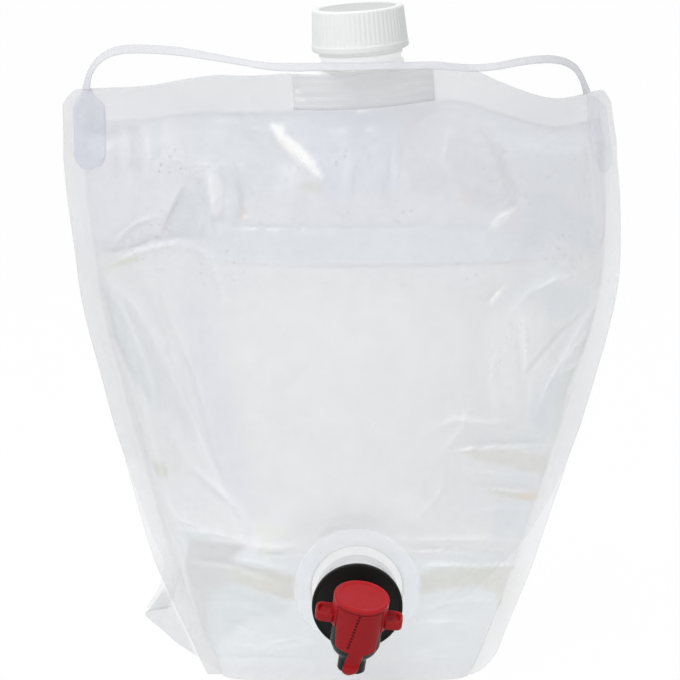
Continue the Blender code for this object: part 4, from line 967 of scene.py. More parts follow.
FRONT_CREASES = (
    # The fan from the left weld and the long fold to the base
    Crease(((99, 272), (108, 300), (118, 338), (140, 392)), 1.6, -1.6),
    Crease(((100, 272), (140, 312), (172, 372), (202, 440), (228, 500), (250, 560)),
         2.0, 1.5, 0.5),
    Crease(((104, 276), (128, 318), (150, 372), (160, 420)), 2.4, 1.3, 0.8, Fold.ROUND),
    Crease(((160, 300), (196, 380), (214, 452), (240, 520)), 2.6, -0.9, 0.8, Fold.ROUND),
    Crease(((100, 270), (136, 252), (176, 243), (205, 252), (232, 300)), 1.8, 1.2),
    Crease(((104, 266), (150, 240), (200, 236)), 2.2, -0.8, 0.8, Fold.ROUND),
    Crease(((128, 330), (150, 420), (170, 500), (190, 560)), 2.0, 0.9, 0.8),
    Crease(((186, 180), (170, 214), (160, 236)), 2.2, -1.2, 0.8, Fold.STEP),
    Crease(((186, 178), (204, 214), (196, 244)), 1.8, 1.0, 0.8),
    # Puckers under the top weld
    Crease(((226, 92), (250, 132), (284, 172)), 1.8, -1.2, 0.7),
    Crease(((262, 118), (290, 140), (326, 182)), 2.2, 1.5, 0.7, Fold.ROUND),
    Crease(((218, 124), (262, 130), (292, 132)), 1.2, 0.7),
    Crease(((214, 118), (250, 116), (286, 120)), 1.0, -0.5),
    Crease(((204, 150), (214, 200), (206, 250)), 2.2, 0.8, 0.9, Fold.ROUND),
    Crease(((236, 160), (244, 200), (232, 246)), 2.6, -0.8, 0.9, Fold.ROUND),
    Crease(((340, 120), (352, 160), (344, 214)), 2.8, 0.6, 0.9, Fold.ROUND),
    Crease(((392, 130), (388, 190), (402, 240)), 3.0, -0.7, 0.9, Fold.ROUND),
    Crease(((452, 118), (444, 160), (470, 214)), 2.4, 0.9, 0.9, Fold.ROUND),
    Crease(((470, 112), (498, 160), (512, 210)), 2.2, -1.0, 0.8, Fold.STEP),
    Crease(((126, 112), (134, 150), (128, 180)), 1.8, -0.7, 0.9, Fold.ROUND),
    Crease(((144, 116), (150, 150), (146, 186)), 1.8, 0.6, 0.9, Fold.ROUND),
    Crease(((112, 248), (122, 236), (133, 225), (147, 219), (162, 216)), 1.1, 1.3),
    Crease(((91, 238), (100, 248), (112, 253), (130, 248)), 1.1, -1.1),
    Crease(((104, 254), (132, 247), (160, 241), (176, 240)), 1.0, -1.0),
    Crease(((222, 167), (227, 190), (226, 210), (220, 232)), 1.1, -1.6),
    Crease(((206, 178), (213, 200), (219, 222), (221, 236)), 1.3, 1.5),
    Crease(((238, 182), (244, 200), (248, 224)), 1.0, -1.2),
    Crease(((237, 98), (252, 112), (266, 126)), 1.1, -1.3),
    Crease(((204, 250), (214, 262), (222, 284), (232, 316)), 1.2, 1.1),
    Crease(((210, 262), (216, 280), (224, 304)), 1.2, -1.0),
    Crease(((216, 121), (232, 121), (244, 123)), 0.7, 1.3),
    Crease(((262, 108), (276, 107), (288, 109)), 0.7, -1.1),
    Crease(((206, 104), (222, 107), (236, 113), (250, 120)), 0.8, -0.9),
    Crease(((480, 116), (500, 146), (512, 176), (520, 206)), 1.4, -1.3),
    Crease(((404, 132), (400, 160), (404, 190)), 1.3, -0.9),
    Crease(((592, 106), (590, 130), (596, 162)), 1.2, -1.0),
    Crease(((206, 226), (300, 227), (420, 227), (488, 230)), 0.8, -0.7, 0.3),
    Crease(((606, 196), (606, 230), (600, 250), (588, 257)), 1.0, -1.2),
    Crease(((552, 238), (566, 250), (580, 262)), 1.1, 1.0),
    # The water line and the fan from the right weld
    Crease(((206, 262), (290, 266), (400, 266), (520, 262), (560, 256)), 1.1, 0.5, 0.3, Fold.STEP),
    Crease(((600, 292), (560, 280), (530, 292), (510, 316)), 1.8, 1.2),
    Crease(((602, 294), (574, 340), (548, 386), (536, 416)), 2.0, 1.7, 0.5),
    Crease(((604, 296), (586, 344), (566, 392), (556, 440)), 2.2, -1.5),
    Crease(((600, 300), (560, 334), (528, 372), (524, 420)), 2.2, -1.0, 0.8, Fold.ROUND),
    Crease(((562, 376), (576, 366), (588, 352)), 1.2, 0.9, 0.8),
    Crease(((490, 306), (500, 290), (512, 282)), 1.3, 0.9, 0.8),
    Crease(((488, 230), (502, 216), (520, 208)), 1.3, 1.0, 0.8),
    Crease(((560, 268), (584, 286), (602, 280)), 1.6, -0.8, 0.8, Fold.ROUND),
    Crease(((523, 300), (526, 340), (529, 380), (536, 414)), 1.2, 1.3),
    Crease(((592, 326), (578, 344), (566, 360), (560, 374)), 1.4, 1.9),
    Crease(((560, 374), (572, 368), (582, 361), (576, 380), (566, 404)), 1.2, 1.4),
    Crease(((517, 330), (520, 360), (522, 400)), 1.2, -0.9),
    Crease(((540, 290), (556, 278), (578, 276), (598, 288)), 1.1, 1.3),
    Crease(((486, 304), (497, 291), (509, 285)), 1.0, -1.2),
    Crease(((498, 340), (492, 380), (500, 430)), 1.6, 0.8),
    Crease(((470, 400), (462, 430), (436, 460)), 1.6, 0.8),
    Crease(((444, 480), (436, 500), (418, 516)), 1.4, 0.8),
    Crease(((455, 451), (466, 450), (480, 449)), 0.8, 1.6),
    # The left side down to the tap
    Crease(((170, 300), (176, 330), (196, 372), (210, 420)), 1.4, 1.1),
    Crease(((113, 330), (130, 364), (145, 390), (161, 410)), 1.2, -1.3, 0.5),
    Crease(((119, 366), (132, 396), (142, 432), (148, 456), (156, 484)), 1.0, -1.3, 0.4),
    Crease(((156, 484), (165, 522), (176, 556), (193, 610), (212, 658)), 1.0, -1.0, 0.3),
    Crease(((175, 434), (193, 468), (218, 488), (238, 508), (256, 533)), 1.8, 1.6, 0.5),
    Crease(((182, 452), (204, 484), (226, 502), (244, 524)), 1.2, -1.3),
    Crease(((150, 300), (166, 336), (172, 362)), 1.2, -1.0),
    Crease(((166, 500), (180, 520), (200, 530), (216, 537)), 1.0, 1.2),
    Crease(((176, 523), (196, 529), (215, 537), (249, 544)), 0.9, -1.2, 0.5),
    Crease(((232, 559), (262, 565), (294, 572)), 0.9, 1.4, 0.5),
    Crease(((224, 620), (240, 624), (257, 632)), 1.0, -1.2),
    Crease(((258, 652), (276, 642), (300, 640), (318, 646)), 0.9, 1.1, 0.5),
    Crease(((290, 610), (304, 624), (316, 646)), 1.0, 1.0),
    # Billows on the lower right
    Crease(((432, 430), (456, 420), (488, 424), (520, 420)), 2.2, 1.1, 0.8, Fold.ROUND),
    Crease(((454, 450), (500, 446), (552, 444)), 2.2, -1.4, 0.6, Fold.STEP),
    Crease(((460, 470), (510, 476), (548, 474)), 2.0, 1.0, 0.8, Fold.ROUND),
    Crease(((478, 488), (520, 490), (548, 496)), 1.8, -1.2, 0.6, Fold.STEP),
    Crease(((470, 512), (510, 508), (545, 512)), 2.0, 0.8, 0.9, Fold.ROUND),
    # Round the tap and over the base
    Crease(((404, 551), (440, 549), (480, 552), (530, 554)), 0.8, -1.3, 0.3),
    Crease(((410, 543), (450, 540), (500, 541), (534, 544)), 0.8, 1.0, 0.3),
    Crease(((260, 553), (280, 554), (304, 552)), 0.8, -1.2, 0.4),
    Crease(((262, 547), (284, 548), (306, 546)), 0.8, 1.0, 0.4),
    Crease(((316, 536), (326, 528), (342, 524), (360, 523)), 1.0, 0.8, 0.5),
    Crease(((420, 568), (450, 566), (490, 565), (526, 566)), 0.9, 1.2, 0.3),
    Crease(((408, 626), (430, 622), (466, 623)), 0.9, 1.0, 0.5),
    Crease(((392, 658), (420, 660), (452, 657), (474, 660)), 0.8, 1.0, 0.4),
    Crease(((214, 657), (280, 658), (330, 660)), 0.8, -0.9, 0.4),
    Crease(((272, 551), (330, 549), (400, 552), (470, 551), (536, 553)), 1.1, 0.8, 0.4),
    Crease(((278, 545), (330, 541), (420, 540), (505, 538)), 1.2, 0.7, 0.5),
    Crease(((176, 530), (212, 534), (248, 544), (296, 556)), 1.8, 1.3, 0.5),
    Crease(((182, 560), (232, 566), (292, 588)), 2.4, -1.2, 0.6, Fold.STEP),
    Crease(((422, 562), (480, 566), (532, 562)), 2.4, -1.1, 0.6, Fold.STEP),
    Crease(((424, 608), (470, 600), (526, 606)), 2.2, 0.9, 0.8, Fold.ROUND),
    Crease(((254, 524), (262, 542), (250, 564)), 1.8, 1.0, 0.8),
    Crease(((220, 600), (262, 612), (296, 634)), 2.2, 0.9, 0.8),
    Crease(((208, 640), (262, 650), (318, 646)), 1.6, 0.7, 0.7),
    Crease(((398, 640), (446, 622), (498, 624)), 1.8, 0.8, 0.8),
    Crease(((260, 656), (300, 646), (344, 640)), 1.2, 0.5, 0.8),
    Crease(((410, 656), (450, 646), (490, 650)), 1.4, 0.6, 0.8),
)

BACK_CREASES = (
    Crease(((150, 150), (210, 260), (250, 400), (262, 520)), 3.0, 1.4, 0.8, Fold.ROUND),
    Crease(((560, 160), (500, 280), (470, 420), (460, 540)), 3.0, 1.3, 0.8, Fold.ROUND),
    Crease(((100, 240), (150, 262), (220, 300)), 2.0, 1.3, 0.7),
    Crease(((612, 240), (560, 270), (500, 300)), 2.0, 1.3, 0.7),
    Crease(((120, 330), (170, 380), (196, 470)), 2.0, -1.2, 0.7),
    Crease(((592, 340), (548, 400), (520, 480)), 2.0, -1.2, 0.7),
    Crease(((260, 140), (292, 190), (300, 250)), 2.2, -1.0, 0.8),
    Crease(((450, 140), (424, 200), (420, 260)), 2.2, 1.0, 0.8),
    Crease(((200, 540), (300, 556), (400, 550), (500, 560)), 2.0, 0.9, 0.6, Fold.ROUND),
    Crease(((190, 590), (300, 606), (420, 600), (510, 610)), 2.0, -0.8, 0.6, Fold.ROUND),
    Crease(((330, 250), (350, 330), (340, 420)), 3.4, 0.8, 0.9, Fold.ROUND),
)

FRONT_TONES = (
    # Above the water
    Tone(((62, 92), (612, 92), (620, 250), (560, 262), (208, 264), (170, 244), (120, 250), (74, 262)),
         (222, 223, 227), 1.0, 4.0),
    Tone(((64, 100), (100, 98), (172, 96), (180, 150), (160, 214), (128, 236), (104, 250), (80, 240),
         (68, 180)), (225, 226, 230), 0.9, 6.0),
    Tone(((210, 98), (290, 112), (292, 132), (284, 190), (250, 200), (214, 176), (190, 150), (186, 110)),
         (219, 223, 226), 0.8, 8.0),
    Tone(((292, 108), (420, 108), (414, 160), (400, 190), (330, 200), (306, 160)), (218, 221, 227),
         0.85, 8.0),
    Tone(((412, 110), (466, 110), (484, 136), (504, 160), (520, 192), (516, 210), (490, 208), (472, 204),
         (460, 192), (409, 192), (400, 160), (404, 134)), (217, 218, 222), 0.85, 4.0),
    Tone(((476, 112), (590, 96), (604, 160), (604, 190), (530, 190), (504, 150)), (220, 223, 227),
         0.8, 8.0),
    Tone(((526, 192), (559, 192), (570, 208), (601, 216), (604, 240), (595, 252), (580, 246), (548, 240),
         (532, 252), (517, 252), (520, 222)), (217, 221, 225), 0.95, 3.5),
    Tone(((186.5, 177), (206, 178.5), (213.5, 210), (222.5, 237), (200, 240), (168.5, 237), (164, 228),
         (168.5, 213), (179, 196.5)), (215, 218, 221), 0.95, 2.0),
    Tone(((207.5, 171), (217, 173), (222, 190), (222.5, 216), (215, 210), (210, 192)), (229, 231, 233),
         0.8, 2.5),
    Tone(((226, 182), (240, 184), (250, 210), (248, 228), (232, 232), (226, 210)), (218, 222, 225),
         0.8, 4.0),
    Tone(((110, 124), (119, 122), (121, 176), (112, 180)), (218, 220, 226), 0.8, 3.0),
    Tone(((129, 126), (142, 125), (143, 172), (132, 176)), (217, 218, 223), 0.85, 3.0),
    Tone(((152, 120), (161, 122), (162, 158), (153, 160)), (217, 223, 226), 0.8, 2.5),
    Tone(((92, 238), (110, 236), (130, 216), (150, 222), (128, 240), (111, 250)), (219, 220, 225),
         0.7, 3.0),
    Tone(((300, 182), (320, 180), (323, 192), (304, 193)), (216, 217, 214), 0.8, 3.0),
    Tone(((206, 223), (300, 224), (420, 225), (488, 226), (520, 240), (556, 258), (470, 262), (300, 262),
         (212, 262)), (221, 225, 229), 0.95, 2.0),
    Tone(((239, 208), (246, 208), (247, 220), (240, 222)), (224, 212, 206), 0.6, 1.5),
    # Below it
    Tone(((100, 270), (140, 256), (170, 243), (182, 246), (211, 262), (300, 266), (470, 266), (560, 262),
         (604, 290), (588, 350), (560, 420), (520, 540), (320, 552), (240, 556), (176, 530), (150, 456),
         (118, 360)), (226, 227, 229), 1.0, 3.0),
    Tone(((236, 300), (300, 280), (420, 288), (486, 330), (470, 420), (440, 500), (320, 520), (250, 470),
         (228, 380)), (229, 230, 231), 0.9, 22.0),
    Tone(((99.5, 270), (112, 282), (137, 309), (149, 329), (176, 372), (200, 430), (192, 440), (160, 400),
         (134, 372), (112, 330)), (220, 222, 225), 0.85, 4.0),
    Tone(((106, 292), (124, 318), (140, 360), (163, 410), (156, 412), (128, 370), (112, 326)),
         (217, 222, 224), 0.7, 3.0),
    Tone(((100, 271), (120, 260), (141, 255.5), (138, 261), (112, 268)), (218, 220, 206), 0.8, 1.5),
    Tone(((182, 300), (206, 300), (226, 360), (240, 440), (250, 500), (226, 500), (204, 440), (190, 380)),
         (223, 225, 230), 0.75, 10.0),
    Tone(((520, 262), (560, 260), (570, 276), (536, 300), (512, 330), (504, 300)), (224, 227, 230),
         0.7, 5.0),
    Tone(((550, 285), (589, 285), (590, 304), (570, 316), (548, 322), (544, 300)), (220, 225, 228),
         0.9, 2.5),
    Tone(((566, 330), (592, 306), (594, 322), (574, 352), (556, 376), (552, 358)), (223, 225, 228),
         0.8, 3.0),
    Tone(((532, 384), (562, 372), (572, 360), (566, 392), (556, 430), (546, 440), (530, 420)),
         (218, 222, 226), 0.9, 3.0),
    Tone(((560, 380), (580, 352), (582, 380), (562, 432), (548, 460), (552, 420)), (224, 227, 226),
         0.7, 3.0),
    Tone(((520, 430), (546, 428), (546, 450), (530, 452), (512, 444)), (220, 225, 228), 0.7, 3.0),
    Tone(((455, 450), (478, 450), (500, 449), (530, 452), (549, 455), (548, 474), (530, 472), (505, 466),
         (478, 460)), (220, 220, 214), 0.95, 2.0),
    Tone(((480, 489), (504, 491), (524, 495), (544, 493), (544, 498), (526, 502), (506, 497)),
         (215, 214, 206), 0.95, 1.6),
    Tone(((514, 494), (530, 494), (544, 493), (540, 499), (526, 501)), (226, 206, 176), 0.75, 1.6),
    Tone(((496, 474), (520, 470), (544, 480), (542, 486), (510, 484)), (221, 226, 230), 0.7, 3.0),
    Tone(((484, 316), (520, 300), (546, 316), (544, 390), (520, 412), (490, 400)), (235, 236, 237),
         0.7, 14.0),
    Tone(((464, 532), (476, 530), (490, 534), (488, 542), (470, 542)), (229, 230, 228), 0.8, 2.0),
    Tone(((496, 500), (532, 498), (530, 540), (496, 536)), (219, 224, 228), 0.6, 5.0),
    Tone(((152, 462), (164, 464), (168, 472), (164, 480), (156, 474)), (214, 215, 204), 0.85, 1.8),
    # Round the base
    Tone(((176, 531), (210, 538), (236, 546), (262, 550), (300, 556), (400, 556), (530, 552), (512, 612),
         (496, 664), (214, 664), (190, 596)), (223, 226, 229), 1.0, 3.0),
    Tone(((184, 530), (208, 536), (207, 544), (190, 548)), (215, 221, 222), 0.9, 2.0),
    Tone(((190, 540), (208, 541), (247, 545), (232, 558), (234, 564), (270, 570), (294, 577), (292, 600),
         (266, 592), (232, 582), (214, 604), (206, 640), (196, 610), (184, 564)), (207, 207, 208),
         0.9, 2.2),
    Tone(((224, 568), (266, 571), (294, 577), (293, 600), (270, 594), (240, 586)), (211, 212, 205),
         0.8, 2.5),
    Tone(((264, 583), (274, 585), (272, 592), (265, 591)), (222, 208, 194), 0.5, 2.0),
    Tone(((208, 590), (232, 584), (262, 594), (288, 606), (284, 616), (250, 620), (222, 640), (214, 650),
         (206, 640)), (211, 217, 220), 0.9, 4.0),
    Tone(((258, 520), (268, 522), (286, 526), (288, 538), (272, 540), (270, 560), (258, 556), (262, 542),
         (256, 532)), (226, 229, 224), 0.85, 2.0),
    Tone(((420, 575), (440, 568), (480, 566), (524, 567), (528, 576), (516, 606), (500, 612), (496, 592),
         (470, 586), (440, 590), (420, 594)), (212, 213, 207), 0.95, 2.5),
    Tone(((497, 610), (516, 604), (508, 628), (500, 650), (497, 640)), (210, 211, 210), 0.8, 2.0),
    Tone(((440, 592), (480, 588), (494, 600), (470, 612), (440, 610)), (220, 225, 228), 0.7, 5.0),
    Tone(((466, 530), (452, 528), (404, 528), (404, 540), (440, 542)), (226, 226, 224), 0.6, 4.0),
    Tone(((204, 664), (496, 664), (486, 676), (206, 676)), (221, 222, 227), 0.8, 3.0),
    Tone(((430, 640), (460, 632), (494, 640), (480, 660), (440, 660)), (219, 224, 228), 0.6, 5.0),
    # On the spout's boat
    Tone(((288.5, 73), (291.5, 73), (292, 104), (289, 104)), (208, 213, 222), 0.8, 1.2),
    Tone(((292, 99), (336, 98.5), (336, 101), (292, 101.5)), (238, 238, 238), 0.8, 1.2),
    Tone(((338, 105.5), (400, 104), (400, 106.5), (338, 108)), (211, 214, 219), 0.8, 1.2),
    Tone(((396, 88), (414, 80), (432, 73), (433, 75), (416, 83), (398, 91)), (234, 234, 236), 0.8, 1.2),
    Tone(((400, 96), (418, 88), (434, 82), (434, 84), (418, 91), (402, 99)), (233, 233, 236), 0.8, 1.2),
    Tone(((310, 84), (356, 78), (404, 70), (404, 72), (356, 81), (310, 87)), (233, 233, 234), 0.6, 1.5),
    Tone(((432, 69), (435, 69), (438, 96), (434, 96)), (211, 214, 221), 0.8, 1.2),
    # Painted highlights: the bright slash of the pucker left of the spout, the leaves of light on the right
    Tone(((268, 124), (282, 124), (285, 134), (301, 145), (313, 158), (323, 179), (316, 175), (303, 163),
         (288, 151), (277, 138)), (247, 247, 246), 1.0, 1.6),
    Tone(((274, 130), (286, 138), (300, 149), (307, 159), (298, 155), (284, 145)), (240, 228, 220),
         0.4, 1.6),
    # Painted shade along the slash's edge
    Tone(((264, 118), (270, 124), (276, 140), (290, 155), (286, 158), (270, 142), (262, 126)),
         (214, 216, 219), 0.7, 2.0),
    Tone(((490, 228), (498, 214), (517, 207), (508, 218), (497, 229)), (236, 237, 238), 0.9, 1.4),
    Tone(((488.5, 304), (494, 292), (506.5, 286), (500, 298), (492, 305)), (235, 237, 237), 0.85, 1.4),
    Tone(((462, 196), (467, 197), (466, 203), (462, 202)), (230, 208, 196), 0.7, 1.2),
    # Small painted glints
    Tone(((227, 109), (236, 109.5), (236, 112), (227, 112)), (238, 236, 240), 0.9, 1.0),
    Tone(((358, 111), (368, 111), (368, 113.5), (358, 113.5)), (246, 246, 247), 0.9, 1.0),
    Tone(((366, 129), (374, 129), (374, 131.5), (366, 131.5)), (242, 242, 243), 0.9, 1.0),
)

# The front panel's left edge below the fullest place, in the front view: down, across
PANEL_EDGE = ((440, 121), (495, 134), (546, 148), (574, 158), (640, 190), (674, 202))
# Where the film's tone falls by these levels: from this share of the height, over this share
FALLS = ((0.10, 0.40, (2.6, 2.8, 3.0)), (0.22, -0.06, (3.0, 3.0, 3.5)), (0.50, 0.20, (1.0, 1.2, 1.2)))


@dataclass
class FilmBag:
    """The two film panels and the gusset, creased and toned."""

    shape: BagShape
    view: FrontView
    rows: int = 234
    columns: int = 196
    weld_rows: int = 16
    weld_columns: int = 8
    crowding: float = math.radians(73.8)
    hole: float = 0.0231
    corner_radius: float = 0.011
    corner_cuts: Pair = (0.30, 0.95)
    billow: Pair = (0.060, 0.0007)
    crumple: Pair = (0.021, 0.00016)
    upper_crumple: float = 0.00014
    grain: Pair = (0.009, 0.00004)
    weld_wave: Pair = (0.05, 0.0005)
    tap_fade: float = 0.010
    rim_start: float = 0.0025
    rim_run: float = 0.004
    gusset_inset: float = 0.0005
    gore_inset: float = 0.0006
    gore_swell: float = 0.0002
    gore_slacks: Pair = (0.0155, 0.0008)
    gore_ripple: Pair = (0.018, 0.0006)
    gore_share: float = 0.80
    cover: float = 0.27
    lit: float = 0.93
    see_through: float = 0.26
    middle_tone: float = 226.0
    contrast: float = 1.7
    panel_tone: Rgb = (224.0, 225.0, 227.0)
    gusset_tone: Rgb = (225.0, 226.0, 228.0)
    weld_tones: Pair = (229.5, 233.0)
    corner_shade: float = 13.0
    shade_from: Pair = (0.20, -0.08)
    seeds: tuple[int, int, int, int] = (11, 47, 5, 71)
    upper_from: Pair = (0.60, 0.2)
    crumple_squash: float = 0.7
    free_side: float = 0.05
    free_run: float = 0.03
    free_top: float = 0.006
    wave_from: Pair = (0.5, 0.3)
    side_from: Pair = (0.985, 0.015)
    top_from: Pair = (-0.004, 0.008)
    patch_veil: float = 0.35
    side_rim: Pair = (0.30, 0.30)
    right_rim: float = 0.7
    top_rim: float = 0.35
    fall_veil: float = 0.5
    weld_clear: float = 0.12
    back_gleam: float = 0.6
    back_cover: float = 0.55
    back_share: float = 0.22
    back_light: float = 6.0
    back_clear: float = 0.65
    side_line: Pair = (0.984, 0.005)
    side_line_from: Pair = (0.62, -0.1)
    side_line_shares: Pair = (0.4, 0.6)
    top_line: Pair = (0.937, 0.0018)
    top_line_share: float = 0.8
    line_shade: float = 2.5
    wet_from: Pair = (0.62, 0.05)
    wet_to: Pair = (0.86, 0.05)
    lobe_edge: Pair = (-3.0, 6.0)
    lobe_down: float = 560.0
    weld_steps: Pair = (0.012, 0.008)
    gusset_columns: int = 81
    floor_rows: int = 101
    gore_rows: int = 60
    gore_start: float = 0.02
    gore_power: float = 1.8
    gore_wave: Pair = (0.04, 0.3)
    gusset_cover: Pair = (0.14, 0.58)
    gusset_clear: Pair = (0.8, 0.6)

    def film_colour(self, tone: Array) -> Array:
        """The film's own colour, so that over white it looks like the tone.

        Returns:
            (t - w) / (1 - w) / lit for the linear tone t, after its distance from the middle tone is
            raised by the contrast, as the film behind evens it out.
        """
        target = unscreened(self.middle_tone + (tone - self.middle_tone) * self.contrast)
        return np.clip((target - self.see_through) / (1 - self.see_through) / self.lit, 0.01, 1.0)

    def across(self) -> tuple[Array, Array]:
        """Shares across the panel, -1 to 1, and the steps out over the welds in metres."""
        middle = np.sin(np.linspace(-1, 1, self.columns) * self.crowding) / math.sin(self.crowding)
        weld = np.linspace(0, self.shape.side_weld, self.weld_columns + 1)[1:]
        u = np.concatenate([np.full(len(weld), -1.0), middle, np.full(len(weld), 1.0)])
        out = np.concatenate([-weld[::-1], np.zeros(len(middle)), weld])
        return u, out

    def straight(self, x: Array, z: Array, front: bool) -> Array:
        """Points of the straight panel at these places across and up."""
        share = z / self.shape.height
        u = np.clip(x / self.shape.half_width(share), -1, 1)
        return np.stack([x, self.shape.depth(u, share, front) * (-1 if front else 1), z], axis=-1)

    def relief(self, points: Array, flat: Array, front: bool, free: Array) -> Array:
        """How far the film stands out of its smooth form, in metres.

        Args:
            points: The settled points.
            flat: The same points on the straight bag.
            front: Which panel.
            free: 1 where the film is free, 0 in the welds.

        Returns:
            Creases placed in the front view, slow billows and fine crumples.
        """
        px, py = self.view.seen(points)
        total = np.zeros(px.shape)
        for crease in FRONT_CREASES if front else BACK_CREASES:
            total = total + crease.relief(px, py)
        x, z = flat[..., 0], flat[..., 2]
        seed = self.seeds[0] if front else self.seeds[1]
        upper = ramp(z / self.shape.height, *self.upper_from)
        crumple = self.crumple[1] + self.upper_crumple * upper
        total = total + waves(x, z, self.billow[0], seed) * self.billow[1]
        total = total + waves(x, z * self.crumple_squash, self.crumple[0], seed + 1) * crumple
        total = total + waves(x, z, self.grain[0], seed + 2) * self.grain[1]
        if front:
            away = np.hypot(x - self.shape.tap_offset, z - self.shape.tap_height)
            free = free * eased((away - self.shape.disc_radius) / self.tap_fade)
        return total * free

    def freedom(self, u: Array, share: Array) -> Array:
        """1 in the free film, 0 in the side welds, the top weld and at the base's edge."""
        side = eased((1 - np.abs(u)) / self.free_side)
        top = eased((self.shape.boat_bottom / self.shape.height - self.free_top - share) / self.free_run)
        return side * top * eased(share / self.free_run)

    def surface(self, x: Array, z: Array, front: bool) -> tuple[Array, Array]:
        """The creased panel at places of the straight bag.

        Args:
            x: Across, rows x columns.
            z: Up, the same shape.
            front: Which panel.

        Returns:
            The settled points and their outward normals.
        """
        share = z / self.shape.height
        flat = self.straight(x, z, front)
        u = np.clip(x / self.shape.half_width(share), -1, 1)
        points = self.shape.settled(flat - self.fallen(flat, share))
        normal = np.cross(np.gradient(points, axis=1), np.gradient(points, axis=0))
        normal /= np.maximum(np.linalg.norm(normal, axis=2, keepdims=True), 1e-12)
        normal *= 1.0 if front else -1.0
        free = self.freedom(u, share)
        points = points + normal * self.relief(points, flat, front, free)[..., None]
        wave = waves(x, z, self.weld_wave[0], self.seeds[2]) * self.weld_wave[1]
        points[..., 1] += (1 - free) * wave * ramp(share, *self.wave_from)
        points[..., 2] = np.maximum(points[..., 2], 0.0)
        return points, normal

    def fallen(self, flat: Array, share: Array) -> Array:
        """How the top edge falls away to both sides."""
        drop = self.shape.top_drop(flat[..., 0]) * ramp(share, *self.shape.fall_from)
        return np.stack([0 * drop, 0 * drop, drop], axis=-1)

    def marks(self, points: Array, u: Array, x_out: Array, share: Array, front: bool) -> dict[str, Array]:
        """Tone, cover and wetness of each point.

        Args:
            points: The settled points.
            u: Shares across the free film.
            x_out: How far out over a side weld each point lies.
            share: Shares of the height.
            front: Which panel.

        Returns:
            The marks that the clear film's finish reads.
        """
        px, py = self.view.seen(points)
        tone = np.broadcast_to(np.array(self.panel_tone), (*px.shape, 3)).copy()
        side = ramp(np.abs(u), *self.side_from)
        top = ramp(share - self.shape.boat_bottom / self.shape.height, *self.top_from)
        weld = np.maximum(side, top)
        gleam = np.zeros(px.shape)
        if front:
            for patch in FRONT_TONES:
                weight = (patch.weight(px, py) * (1 - self.patch_veil * weld))[..., None]
                tone = tone * (1 - weight) + np.array(patch.colour, float) * weight
        # Painted light and shade along the creases, as from a light at the upper left, fainter on the back
        # panel
        for crease in FRONT_CREASES if front else BACK_CREASES:
            gleam = gleam + crease.gleam(px, py) * (1.0 if front else self.back_gleam)
        tone = tone + (gleam * (1 - weld))[..., None]
        outer = self.side_rim[0] + self.side_rim[1] * ramp(x_out, self.rim_start, self.rim_run)
        rim = np.maximum(np.maximum(outer, self.right_rim * (u > 0)) * side, self.top_rim * top)
        left, right = self.weld_tones
        light = np.where(u > 0, right, left)[..., None] + np.array([0.0, 0.0, 1.0])
        tone = tone * (1 - rim[..., None]) + light * rim[..., None]
        lower = sum(np.array(levels) * ramp(share, place, run)[..., None] for place, run, levels in FALLS)
        tone = tone - lower * (1 - self.fall_veil * weld)[..., None]
        cover = self.cover * (1.0 if front else self.back_cover) * (1 - self.weld_clear * weld)
        if front:
            tone = tone - (self.corner_shade * side * (u < 0) * ramp(share, *self.shade_from))[..., None]
            tone = tone - (self.line_shade * self.weld_lines(u, share))[..., None]
        else:
            low = 1 - eased(share / self.back_share)
            tone = tone + low[..., None] * self.back_light
            cover = cover * (1 - self.back_clear * low * (1 - self.lobe(points)))
        wet = ramp(share, *self.wet_from) * (1 - ramp(share, *self.wet_to)) * (1 - side)
        return {"tone": self.film_colour(tone).reshape(-1, 3), "cover": cover.ravel(), "wet": wet.ravel()}

    def weld_lines(self, u: Array, share: Array) -> Array:
        """The fine lines where the side and top welds start: exp(-d^2) at d widths from each line."""
        (side, wide), (top, high) = self.side_line, self.top_line
        least, more = self.side_line_shares
        beside = least + more * ramp(share, *self.side_line_from)
        beside = beside * np.exp(-((np.abs(u) - side) / wide) ** 2)
        return np.clip(beside + self.top_line_share * np.exp(-((share - top) / high) ** 2), 0, 1)

    def lobe(self, points: Array) -> Array:
        """1 where a point shows left of the front panel's edge in the front view, 0 behind the panel."""
        px, py = self.view.seen(points)
        edge = np.interp(py, *np.array(PANEL_EDGE, float).T)
        return ramp(edge - px, *self.lobe_edge) * (py > self.lobe_down)

    def panel(self, front: bool, material: bpy.types.Material) -> bpy.types.Object:
        """One film panel, with a round hole for the gland in the front one."""
        weld = self.shape.boat_bottom / self.shape.height
        below, above = self.weld_steps
        free = np.linspace(0, weld - below, self.rows - self.weld_rows)
        share = np.concatenate([free, np.linspace(weld - above, 1, self.weld_rows)])
        u, out = self.across()
        share, u = np.meshgrid(share, u, indexing="ij")
        corner = np.clip(1 - share * self.shape.height / self.corner_radius, 0, 1)
        kept = np.sqrt(1 - np.where(out > 0, self.corner_cuts[1], self.corner_cuts[0])[None, :] * corner**2)
        x = u * self.shape.half_width(share) + out[None, :] * kept
        points, _ = self.surface(x, share * self.shape.height, front)
        surface = Surface.grid(points)
        surface.marks = self.marks(points, u, np.abs(out)[None, :] + 0 * u, share, front)
        if front:
            surface = self.pierced(surface)
        name = "front_film" if front else "back_film"
        node = "front_panel" if front else "back_panel"
        piece = add_piece(name, surface, material, "bag", (node,))
        self.thicken(piece, front)
        return piece

